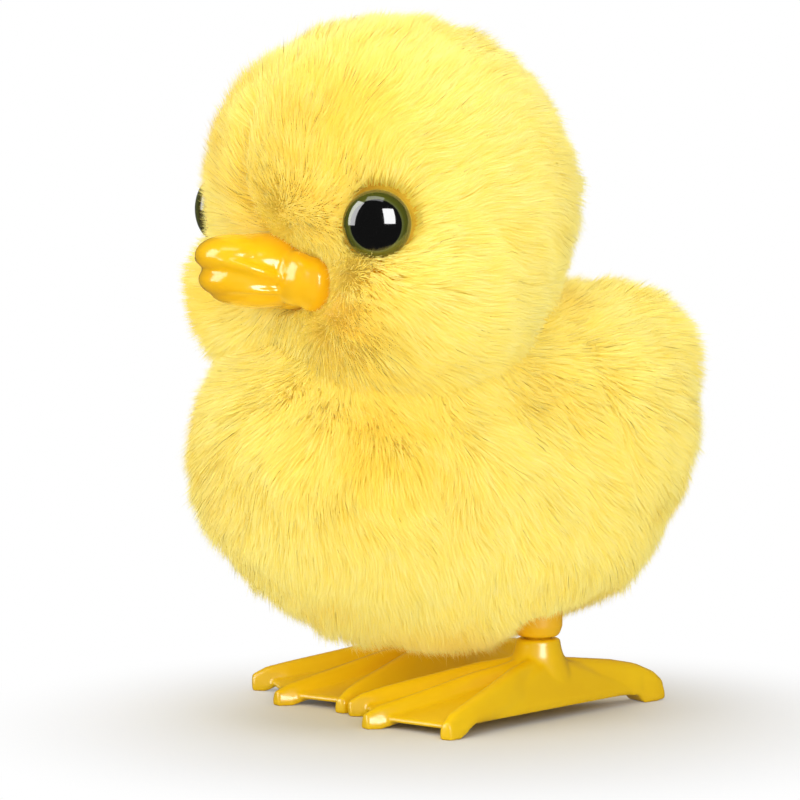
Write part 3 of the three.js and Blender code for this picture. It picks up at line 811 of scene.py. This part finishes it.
# %% Ribbons
ROOT_WIDE = 0.145
MIDDLE_WIDE = 0.86
TO_FORM, TO_FACE, AT_RANDOM = 0.72, 0.34, 0.16  # what the shading normal is mixed from
SWING = np.radians(38)  # how far a ribbon turns about its own length
way = unit(tips - roots)
side = unit(np.cross(way, out))
side = turned(side, np.cross(way, side), SWING * rng.normal(size=count))
front = np.cross(side, way)
front *= np.sign(np.sum(front * out, axis=1))[:, None]
shading = unit(TO_FORM * out + TO_FACE * front + AT_RANDOM * rng.normal(size=(count, 3)))
half_wide = (ROOT_WIDE / 2 * (1 + 0.15 * jitter[:, 3]))[:, None]
corners = np.stack(
    [
        roots - side * half_wide,
        roots + side * half_wide,
        middles - side * half_wide * MIDDLE_WIDE,
        middles + side * half_wide * MIDDLE_WIDE,
        tips,
    ],
    axis=1,
)
corners = corners * MM + np.array(ankles)
print("ribbon corners:", corners.shape)

# %% [markdown]
# The pile's colour runs along each fibre: deep yellow in the shade of its root, pale lemon at the
# tip. Tufts differ a little from each other, and broad patches of the dye lie deeper. A value
# stored along the fibre and one stored per tuft drive this. A second layout gives each fibre its
# own small square, so that the colours can be baked for the finished model.

# %% Pile material
# The faint glow stands for the light that see-through fibres pass on to each other.
pile = Finish(
    "plush_pile", Roughness=0.7, Sheen_Weight=0.3, Sheen_Roughness=0.5, Specular_IOR_Level=0.25,
    Emission_Color=(1.0, 0.83, 0.17, 1), Emission_Strength=0.17,
)
along_fibre = pile.node("Attribute", attribute_name="along").outputs["Fac"]
tuft = pile.node("Attribute", attribute_name="tuft").outputs["Fac"]
parted_shade = pile.node("Attribute", attribute_name="ruffled").outputs["Fac"]
patches = pile.ramp(pile.noise(55), (0.52, (0, 0, 0, 1)), (0.72, (1, 1, 1, 1)))
tip_colour = pile.mix(tuft, linear("FFF07E"), linear("FFF69C"))
tip_colour = pile.mix(pile.math("MULTIPLY", patches, 0.35), tip_colour, linear("FFDC4A"))
# Where the pile is ruffled, its tips are painted a deeper yellow: painted shade between the parted
# fibres.
tip_colour = pile.mix(pile.math("MULTIPLY", parted_shade, 0.8), tip_colour, linear("FFDF38"))
tip_share = pile.ramp(
    along_fibre, (0.0, (0, 0, 0, 1)), (0.35, (0.3, 0.3, 0.3, 1)), (0.85, (1, 1, 1, 1))
)
pile.colour(pile.mix(tip_share, linear("FFE23A"), tip_colour))
print("pile material:", len(pile.tree.nodes), "nodes")

# %% Ribbon meshes
FIBRE_POINTS = 5
ROUND_FACES = [0, 1, 3, 2, 2, 3, 4]  # the points of a fibre's quad, then of its tip
FACE_STARTS = [0, 4]


def bake_layout(fibres):
    """Each fibre's seven face corners in a small square of its own: quad, then tip."""
    across_count = math.ceil(math.sqrt(fibres))
    cell = np.arange(fibres)
    corner = np.stack([cell % across_count, cell // across_count], axis=1) / across_count
    low, high = 0.14, 0.86
    quad = [(low, low), (high, low), (high, 0.5), (low, 0.5)]
    tip = [(low, 0.5), (high, 0.5), (0.5, high)]
    return (corner[:, None, :] + np.array(quad + tip) / across_count).reshape(-1, 2)


def ribbons(name, chosen):
    """One mesh of the chosen fibres."""
    fibres = len(chosen)
    mesh = bpy.data.meshes.new(name)
    mesh.vertices.add(fibres * FIBRE_POINTS)
    mesh.vertices.foreach_set("co", corners[chosen].ravel())
    first = np.arange(fibres)[:, None]
    loops = (first * FIBRE_POINTS + np.array(ROUND_FACES)).ravel()
    mesh.loops.add(len(loops))
    mesh.loops.foreach_set("vertex_index", loops.astype(np.int32))
    faces = fibres * len(FACE_STARTS)
    mesh.polygons.add(faces)
    starts = (first * len(ROUND_FACES) + np.array(FACE_STARTS)).ravel()
    mesh.polygons.foreach_set("loop_start", starts.astype(np.int32))
    mesh.polygons.foreach_set("use_smooth", np.ones(faces, dtype=bool))
    mesh.update(calc_edges=True)
    values = {
        "along": np.tile([0, 0, 0.5, 0.5, 1.0], fibres),
        "tuft": tuft_shade[chosen].repeat(FIBRE_POINTS),
        "ruffled": ruffled[chosen].repeat(FIBRE_POINTS),
    }
    for label, value in values.items():
        mesh.attributes.new(label, "FLOAT", "POINT").data.foreach_set("value", value)
    mesh.uv_layers.new(name="OFBake").data.foreach_set("uv", bake_layout(fibres).ravel())
    mesh.normals_split_custom_set_from_vertices(shading[chosen].repeat(FIBRE_POINTS, axis=0))
    mesh.materials.append(pile.material)
    obj = bpy.data.objects.new(name, mesh)
    bpy.context.collection.objects.link(obj)
    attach(obj, "chick")
    print(f"{name}: {fibres} fibres")


BANDS = ["belly", "flank", "neck", "cheek", "crown"]
for hand, on_side in (("left", roots[:, 0] >= 0), ("right", roots[:, 0] < 0)):
    indices = np.flatnonzero(on_side)
    indices = indices[np.argsort(roots[indices, 2], kind="stable")]
    for band, chosen in zip(BANDS, np.array_split(indices, len(BANDS))):
        ribbons(f"{hand}_pile_{band}", chosen)

# %% [markdown]
# ## Shaping moulded pieces
# A moulded piece has no sharp corners, and its parts flow into each other. It can be shaped like
# clay: simple bodies are laid over each other, a voxel remesh melts them into one skin, and a
# little smoothing rounds the joins. Turned pieces are spun from a profile, and ridges are hulls
# round rows of points.

# %% Clay and hulls
def blob(centre, radii, lift=0):
    """An ellipsoid of clay, its front lifted by that many degrees."""
    bpy.ops.mesh.primitive_ico_sphere_add(subdivisions=4, radius=1, location=centre)
    bpy.context.object.scale = radii
    bpy.context.object.rotation_euler = (-math.radians(lift), 0, 0)
    return bpy.context.object


def outlined(points, edges=()):
    """A new piece that holds only points and the edges between them."""
    mesh = bpy.data.meshes.new("outline")
    mesh.from_pydata([tuple(point) for point in points], list(edges), [])
    obj = bpy.data.objects.new("outline", mesh)
    bpy.context.collection.objects.link(obj)
    return only(obj)


def hulled(points):
    """The tightest skin round a cloud of points."""
    return edited(outlined(points), bpy.ops.mesh.convex_hull)


def spun(profile, steps=64):
    """A profile of (radius, height) points turned about the upright axis."""
    edges = [(i, i + 1) for i in range(len(profile) - 1)]
    obj = outlined([(radius, 0, height) for radius, height in profile], edges)
    edited(obj, bpy.ops.mesh.spin, steps=steps, angle=2 * math.pi, center=(0, 0, 0),
           axis=(0, 0, 1))
    return tidy_normals(obj, 1e-3)


def drum(radius, low, high):
    """A plain turned drum, for posts, bosses and drills."""
    return spun([(0, low), (radius, low), (radius, high), (0, high)], 48)


def aimed(obj, place, way):
    """Turns the piece's upright axis to point that way, and moves it there."""
    obj.rotation_euler = Vector(way).to_track_quat("Z", "Y").to_euler()
    obj.location = place
    only(obj)
    bpy.ops.object.transform_apply(location=True, rotation=True, scale=True)
    return obj


print("shapes to start from:", [tool.__name__ for tool in (blob, hulled, spun, drum)])

# %% Joining and drilling
def joined(pieces):
    """All the pieces as one object."""
    select_none()
    for piece in pieces:
        piece.select_set(True)
    bpy.context.view_layer.objects.active = pieces[0]
    bpy.ops.object.join()
    bpy.ops.object.transform_apply(location=True, rotation=True, scale=True)
    return bpy.context.object


def fused(pieces, grain, rounds):
    """Melts overlapping pieces into one skin and rounds the joins."""
    whole = joined(pieces)
    modify(whole, "REMESH", mode="VOXEL", voxel_size=grain)
    modify(whole, "SMOOTH", factor=0.5, iterations=rounds)
    return whole


def drilled(obj, cutter):
    """Takes the cutter's shape out of the piece."""
    modify(obj, "BOOLEAN", operation="DIFFERENCE", object=cutter, solver="EXACT")
    bpy.data.objects.remove(cutter)
    return obj


def taken_from(node):
    """A merged copy of a node of the frame, in millimetres about the ankles."""
    source = bpy.data.objects[node]
    twin = bpy.data.objects.new(f"{node}_copy", source.data.copy())
    bpy.context.collection.objects.link(twin)
    twin.data.transform(TO_FRAME.inverted() @ source.matrix_world)
    return tidy_normals(twin, 1e-3)


# %% [markdown]
# ## Filling
# The toy is stuffed with loose polyester fibre, one wad in the head and one round the motor. It
# is soft and lumpy and takes the shape of what it fills. So each wad starts as a copy of the
# frame's solid and is remeshed and pushed inwards by a cloudy texture, which leaves the clockwork
# its room.

# %% Filling
filling = Finish("fibre_filling", Roughness=0.95, Sheen_Weight=0.3)
threads = filling.node("TexNoise", Scale=260, Detail=6, Distortion=2.5)
filling.link(filling.place, threads.inputs["Vector"])
filling.colour(
    filling.ramp(threads.outputs["Fac"], (0.3, linear("D9D7CE")), (0.7, linear("FAF9F4")))
)
filling.bump(threads.outputs["Fac"], 0.8, 6e-4)
lumps = bpy.data.textures.new("lumps", "CLOUDS")
lumps.noise_scale = 3.0
for part in ("head", "body"):
    wad = taken_from(f"{part}_stuffing")
    modify(wad, "REMESH", mode="VOXEL", voxel_size=0.7)
    modify(wad, "SMOOTH", factor=0.5, iterations=2)
    modify(wad, "DISPLACE", texture=lumps, texture_coords="LOCAL", strength=-1.2, mid_level=0.25)
    settle(wad, f"{part}_filling", filling.material, "chick", f"{part}_stuffing")

# %% [markdown]
# ## Eyes
# A safety eye is one clear-topped dome on a post, held inside by a push-on washer. The black
# pupil and the olive ring are printed under the clear dome. Here the dome is spun from its
# profile, the print is a pattern by distance from the eye's own axis, and the clear top is a coat
# over it.

# %% Eyes
EYE_DOME = 2.9  # how far the dome rises above its rim
EYE_BASE = 4.2  # and how far its back and the end of its post lie below it
EYE_POST_END = 10.2
POST_R = 1.5
PUPIL_SHARE = 0.745  # of the eye's radius
EDGE_WAVERS = 0.012  # the print's edges aren't quite round
DOME_STEPS = 20


def eye_finish(side, place, way):
    """The print under the dome: a pupil, a ring and a dark rim, by distance from the axis."""
    made = Finish(f"{side}_eye_gloss", Roughness=0.08, Coat_Weight=1.0, Coat_Roughness=0.01)
    turn = Vector(way).to_track_quat("Z", "Y").to_euler()
    centred = made.node("Mapping", vector_type="TEXTURE")
    centred.inputs["Location"].default_value = TO_FRAME @ Vector(place)
    centred.inputs["Rotation"].default_value = turn
    made.link(made.place, centred.inputs["Vector"])
    flat = made.node("VectorMath", operation="MULTIPLY")
    flat.inputs[1].default_value = (1 / (EYE_R * MM), 1 / (EYE_R * MM), 0)
    made.link(centred.outputs[0], flat.inputs[0])
    length = made.node("VectorMath", operation="LENGTH")
    made.link(flat.outputs[0], length.inputs[0])
    waver = made.math("MULTIPLY_ADD", made.noise(700), EDGE_WAVERS, -EDGE_WAVERS / 2)
    share = made.math("ADD", length.outputs["Value"], waver)
    made.colour(
        made.ramp(
            share,
            (PUPIL_SHARE - 0.015, linear("020202")),
            (PUPIL_SHARE + 0.01, linear("5C6234")),
            (PUPIL_SHARE + 0.07, linear("4F530F")),
            (0.93, linear("45470B")),
            (0.965, linear("33260A")),
            (1.0, linear("1E1606")),
        )
    )
    return made.material


quarter = [math.radians(90 * step / DOME_STEPS) for step in range(DOME_STEPS + 1)]
# From the end of the post up to the dome's rim, then over the dome.
EYE_PROFILE = [(0, -EYE_POST_END), (POST_R - 0.2, -EYE_POST_END), (POST_R, 0.2 - EYE_POST_END)]
EYE_PROFILE += [(POST_R, -EYE_BASE), (EYE_R - 0.5, -EYE_BASE), (EYE_R - 0.1, -EYE_BASE + 0.15)]
EYE_PROFILE += [(EYE_R, -EYE_BASE + 0.5), (EYE_R, -0.2)]
EYE_PROFILE += [(EYE_R * math.cos(turn), EYE_DOME * math.sin(turn)) for turn in quarter]
for side, sign in (("left", 1), ("right", -1)):
    place = (sign * EYE_AT[0], EYE_AT[1], EYE_AT[2])
    way = (sign * EYE_WAY[0], EYE_WAY[1], EYE_WAY[2])
    eye = aimed(spun(EYE_PROFILE, 72), place, way)
    settle(eye, f"{side}_dome_eye", eye_finish(side, place, way), "chick",
           f"{side}_eye")

# %% [markdown]
# ## Bill
# The bill is one glossy moulding: a rounded hood over the upper half, a ridge for each lip with a
# groove between them, a thick cuff at the root that ends in the corners of the mouth, and a post
# that a washer holds inside the head. Ellipsoids are laid over each other like clay, one for each
# of these.

# %% Bill
BILL_BACK_Y = -34.0
BILL_POST_Z = 63.5
BILL_CLAY = [  # centre, radii, and how many degrees the front is lifted
    ((0, -38.6, 65.2), (6.9, 7.8, 4.0)),  # hood
    ((0, -43.2, 66.3), (5.3, 5.3, 2.95)),  # nail
    ((0, -41.3, 63.9), (7.7, 7.2, 1.6), 19),  # upper lip
    ((0, -39.8, 62.9), (6.7, 8.1, 3.3)),  # lower jaw
    ((0, -39.7, 61.5), (7.2, 7.6, 1.0), 3),  # lower lip
    ((0, -38.8, 61.0), (5.9, 7.2, 2.3)),  # underside
    ((6.9, -37.0, 63.2), (4.5, 2.9, 3.9)),  # left of the cuff
    ((9.0, -35.7, 62.5), (3.5, 2.5, 3.9)),  # left corner of the mouth
    ((-6.9, -37.0, 63.2), (4.5, 2.9, 3.9)),  # right of the cuff
    ((-9.0, -35.7, 62.5), (3.5, 2.5, 3.9)),  # right corner of the mouth
    ((0, -35.0, 63.3), (9.5, 3.0, 5.0)),  # root
]
clay = fused([blob(*part) for part in BILL_CLAY], grain=0.24, rounds=16)
edited(clay, bpy.ops.mesh.bisect, plane_co=(0, BILL_BACK_Y, 0), plane_no=(0, 1, 0),
       clear_outer=True, use_fill=True)
post = aimed(drum(POST_R, -1, 7), (0, BILL_BACK_Y, BILL_POST_Z), (0, 1, 0))
bill = fused([clay, post], grain=0.2, rounds=9)
bill_plastic = moulded("bill_plastic", "FFCA10", "FFC000", 0.2, coat=0.45)
settle(bill, "moulded_bill", bill_plastic, "chick", "bill")

# %% [markdown]
# ## Feet
# A foot is a moulded plate of three toes with webs between them, a heel spur that keeps the toy
# from tipping back, and a collar that takes the leg's peg. Each toe has a cross-section like a
# tent with a rounded ridge. It is made of hulls round pairs of such sections, and the webs are
# thin hulls between them. The right foot is the left one mirrored.

# %% Measures of a foot
RIDGE_TURNS = [math.radians(a) for a in range(0, 181, 20)]
# A section is: outward, forward, height of the ridge, its radius, half the foot's width, underside.
TOES = {
    "outer": [
        (1.2, 1.0, 8.3, 1.7, 3.8, 2.6), (4.9, 7.5, 7.5, 1.35, 3.1, 2.6),
        (8.1, 13.6, 5.9, 1.2, 2.6, 2.3), (11.5, 20.1, 4.3, 1.1, 2.0, 1.6),
        (13.0, 23.0, 3.5, 1.0, 1.6, 0.0), (14.0, 24.8, 2.4, 0.8, 0.9, 0.0),
    ],
    "middle": [
        (0, 1.0, 8.3, 1.7, 3.8, 2.6), (0, 7, 7.2, 1.4, 3.0, 2.6), (0, 11, 6.6, 1.3, 2.7, 2.5),
        (0, 20, 4.6, 1.15, 2.2, 1.8), (-0.1, 27.0, 3.1, 1.0, 1.6, 0.0),
        (-0.1, 29.2, 2.1, 0.8, 0.9, 0.0),
    ],
    "inner": [
        (-1.2, 1.0, 8.3, 1.7, 3.6, 2.6), (-3.9, 7.6, 7.3, 1.35, 2.9, 2.6),
        (-6.4, 13.8, 5.8, 1.2, 2.5, 2.3), (-9.0, 20.4, 4.2, 1.1, 1.9, 1.6),
        (-10.2, 23.2, 3.3, 0.95, 1.55, 0.0), (-11.0, 25.1, 2.2, 0.8, 0.9, 0.0),
    ],
    "heel": [
        (0, -1.0, 8.0, 1.7, 3.8, 2.2), (0, -5, 7.5, 1.7, 3.4, 1.9), (0, -12.4, 6.6, 1.6, 2.6, 1.5),
        (0, -16.2, 5.8, 1.5, 2.3, 1.2), (0, -17.2, 5.5, 1.5, 2.2, 0.0),
        (0, -19.9, 4.3, 1.4, 2.0, 0.0), (0, -21.4, 3.0, 1.0, 1.5, 0.2),
    ],
}
SKIRT = 0.9  # the foot's lower edge is this thick before the ridge's slope begins
COLLAR = [(0, 3), (5.2, 3), (4.9, 5.4), (4.3, 7.0), (3.6, 8.4), (3.28, 9.6), (3.2, 10.5)]
COLLAR += [(3.05, 10.65), (0, 10.65)]
WEB_FRONT = ((12.6, 22.6, 1.7), (-0.1, 26.9, 1.7), (-9.9, 23.0, 1.7))
WEB_THICK = 0.8
WEB_ROOT_Z = 6.2
ANKLE_RING = (3.2, 7.6)  # the radius and height where the flanks meet the collar
SOCKET_R = 2.0
SOCKET_Z = 5.0  # the bottom of the socket for the leg's peg
FLANKS = {  # where the broad side of the foot meets the toe, the ankle and the heel
    "outer": ((12.3, 18.4, 1.4), (6.9, 3.0, 1.9), (2.3, -15.2, 1.4)),
    "inner": ((-9.8, 18.6, 1.4), (-5.9, 3.0, 1.9), (-2.3, -15.2, 1.4)),
}
print("toes:", {name: len(rows) for name, rows in TOES.items()}, "sections each")

# %% The parts of a foot
def on_foot(outward, forward, height):
    return Vector((ANKLE_X + outward, -forward, height))


def section(row, along):
    """Points of one tent-shaped cross-section, square to the direction of the toe."""
    outward, forward, ridge, radius, half_wide, underside = row
    middle = on_foot(outward, forward, 0)
    side = Vector((-along.y, along.x, 0)).normalized()
    points = [
        middle + side * radius * math.cos(turn)
        + Vector((0, 0, ridge - radius + radius * math.sin(turn)))
        for turn in RIDGE_TURNS
    ]
    for sign in (-1, 1):
        edge = middle + side * half_wide * sign
        points += [edge + Vector((0, 0, underside)), edge + Vector((0, 0, underside + SKIRT))]
    return points


def toe(rows):
    """The hulls between each pair of neighbouring sections of a toe."""
    along = on_foot(*rows[-1][:2], 0) - on_foot(*rows[0][:2], 0)
    rings = [section(row, along) for row in rows]
    return [hulled(a + b) for a, b in zip(rings, rings[1:])]


def web(first, second):
    """A thin skin between two toes, from the ankle to their tips."""
    root = on_foot(0, 2.0, WEB_ROOT_Z)
    corners = [root, on_foot(*first), on_foot(*second)]
    return hulled(corners + [corner - Vector((0, 0, WEB_THICK)) for corner in corners])


def flank(low_edge):
    """The broad side of the foot, from the toe past the ankle to the heel."""
    low = [on_foot(outward, ahead, z + up) for outward, ahead, z in low_edge for up in (0, SKIRT)]
    radius, height = ANKLE_RING
    ring = [
        on_foot(radius * math.cos(turn), radius * math.sin(turn), height)
        for turn in (math.radians(a) for a in range(0, 360, 30))
    ]
    toe_edge = low_edge[0][0]
    ridge = [on_foot(toe_edge * 0.62, 13.0, 4.9), on_foot(0, -12.0, 5.6)]
    return hulled(low + ring + ridge)


print("an ankle stands at", [round(v, 1) for v in on_foot(0, 0, 0)])

# %% Feet
parts = [piece for rows in TOES.values() for piece in toe(rows)]
parts += [web(WEB_FRONT[0], WEB_FRONT[1]), web(WEB_FRONT[1], WEB_FRONT[2])]
parts += [flank(low_edge) for low_edge in FLANKS.values()]
parts.append(aimed(spun(COLLAR, 64), (ANKLE_X, 0, 0), (0, 0, 1)))
left_foot = fused(parts, grain=0.26, rounds=13)
edited(left_foot, bpy.ops.mesh.bisect, plane_co=(0, 0, 0.02), plane_no=(0, 0, -1),
       clear_outer=True, use_fill=True)
lowest = min(vertex.co.z for vertex in left_foot.data.vertices)
left_foot.data.transform(Matrix.Translation((0, 0, -lowest)))
drilled(left_foot, aimed(drum(SOCKET_R, SOCKET_Z, 20), (ANKLE_X, 0, 0), (0, 0, 1)))
right_foot = copy_of(left_foot)
right_foot.data.transform(Matrix.Scale(-1, 4, (1, 0, 0)))
foot_plastic = moulded("foot_plastic", "F8CB05", "F2C200", 0.28, coat=0.25)
for side, foot in (("left", left_foot), ("right", right_foot)):
    tidy_normals(foot)
    settle(foot, f"{side}_webbed_foot", foot_plastic, "legs", f"{side}_foot")

# %% [markdown]
# ## Legs
# Each leg hangs on the rocking shaft by a boss and ends in a peg that is pressed into the foot.
# Only its round stem shows, between the plush and the collar. Boss and stem are fused, then bored
# for the shaft.

# %% Legs
SHAFT_Z = 25.0
SHAFT_BORE = 1.7
BOSS_R = 4.0
LEG_SPAN = (8.7, 15.7)
STEM = [(0, 5.6), (1.5, 5.6), (1.8, 5.9), (1.8, 10.95), (2.75, 10.95), (3.1, 11.3), (3.5, 12.4)]
STEM += [(3.5, 24), (0, 24)]
leg_plastic = moulded("leg_plastic", "FFCA12", "FDC208", 0.36, coat=0.1)
for side, sign in (("left", 1), ("right", -1)):
    stem = aimed(spun(STEM, 48), (sign * ANKLE_X, 0, 0), (0, 0, 1))
    boss = aimed(drum(BOSS_R, *LEG_SPAN), (0, 0, SHAFT_Z), (sign, 0, 0))
    leg = fused([stem, boss], grain=0.2, rounds=3)
    drilled(leg, aimed(drum(SHAFT_BORE, 0, 30), (0, 0, SHAFT_Z), (sign, 0, 0)))
    tidy_normals(leg)
    settle(leg, f"{side}_stem", leg_plastic, "legs", f"{side}_leg")

# %% [markdown]
# ## Winding key
# The key is a collar on the arbor's end with two wings for finger and thumb. It is fused from a
# drum and hulls of balls, like a small moulding, and its wings have a few grip ribs.

# %% Winding key
KEY_X = -27.6
KEY_COLLAR_R, KEY_COLLAR_LONG = 3.6, 5
ARBOR_BORE, ARBOR_BORE_DEEP = 1.6, 4.3
RIB_FIRST, RIB_STEP, RIBS = 3.8, 1.4, 3


def ball_points(outward, sideways, radii):
    """Points on an ellipsoid of the key, to be wrapped in a hull."""
    points = []
    for rise in range(-75, 76, 30):
        for turn in range(0, 360, 30):
            up, flat = math.sin(math.radians(rise)), math.cos(math.radians(rise))
            way = (flat * math.cos(math.radians(turn)), flat * math.sin(math.radians(turn)), up)
            centre = Vector((KEY_X - outward, sideways, 0))
            points.append(centre + Vector([r * w for r, w in zip(radii, way)]))
    return points


def wrapped(balls):
    """One hull round several ellipsoids."""
    return hulled([point for ball in balls for point in ball_points(*ball)])


def key_wing(sign):
    """A wing with its grip ribs, on one side of the arbor."""
    parts = [wrapped([
        (4.4, sign * 3.0, (1.0, 1.0, 1.5)),
        (8.9, sign * 2.6, (1.2, 1.2, 1.0)),
        (4.8, sign * 6.2, (1.2, 1.2, 1.0)),
        (8.1, sign * 6.6, (1.4, 1.4, 1.0)),
    ])]
    for rib in range(RIBS):
        place = sign * (RIB_FIRST + rib * RIB_STEP)
        parts.append(wrapped([(5.2, place, (0.35, 0.35, 1.45)), (8.6, place, (0.35, 0.35, 1.35))]))
    return parts


key_parts = key_wing(-1) + key_wing(1)
key_parts.append(
    wrapped([(outward, sign * 3.0, (1.0, 1.0, 1.0)) for outward in (4.4, 7.6) for sign in (-1, 1)])
)
key_parts.append(
    aimed(drum(KEY_COLLAR_R, -KEY_X, KEY_COLLAR_LONG - KEY_X), (0, 0, 0), (-1, 0, 0))
)
key = fused(key_parts, grain=0.16, rounds=3)
drilled(key, aimed(drum(ARBOR_BORE, -KEY_X - 1, ARBOR_BORE_DEEP - KEY_X), (0, 0, 0), (-1, 0, 0)))
tidy_normals(key)
key.location = (0, *ARBOR_YZ)
key_plastic = moulded("key_plastic", "F8CB05", "F2C200", 0.28, coat=0.25)
settle(key, "winding_key", key_plastic, "winder", "winding_knob")

# %% [markdown]
# ## Clockwork and fixings
# The clockwork keeps the frame's own meshes, which are true to size. Each gets the finish of its
# material: satin mouldings for the case, natural acetal for the gears, drawn steel for shafts and
# screws and blued strip for the mainspring. Drawn steel is smooth but streaked, so its noise is
# stretched along the shafts, and it varies the roughness as well as the colour.

# %% Drawn steel
def drawn_metal(name, light, dark, along):
    """Metal with streaks, stretched most along the axis where the scale is least."""
    made = Finish(name, Metallic=1.0)
    stretch = made.node("Mapping")
    stretch.inputs["Scale"].default_value = along
    made.link(made.place, stretch.inputs["Vector"])
    streaks = made.noise(900, 4.0, stretch.outputs[0])
    made.colour(made.ramp(streaks, (0.35, linear(dark)), (0.7, linear(light))))
    made.link(made.math("MULTIPLY_ADD", streaks, 0.25, 0.18), made.shader.inputs["Roughness"])
    print("drawn finish:", name)
    return made.material


# %% Finishes of the clockwork
FINISHES = {
    "washer_plastic": moulded("washer_plastic", "EDEDE8", "E2E2DC", 0.45),
    "case_plastic": moulded("case_plastic", "EDEBE2", "E0DDD2", 0.4),
    "gear_plastic": moulded("gear_plastic", "E8EBEA", "D5DAD9", 0.35),
    "steel": drawn_metal("drawn_steel", "D8DADE", "A9ADB4", (0.08, 1, 1)),
    "spring_steel": drawn_metal("blued_strip", "7884A0", "4A5168", (1, 0.15, 0.15)),
}
dressed = []
for subpart in frame["record"]["subparts"]:
    finish = FINISHES.get(subpart["material_slot"])
    if finish:
        node = bpy.data.objects[subpart["node"]]
        node.data.materials.clear()
        node.data.materials.append(finish)
        dressed.append(subpart["node"])
print("dressed:", len(dressed), "nodes of the frame")
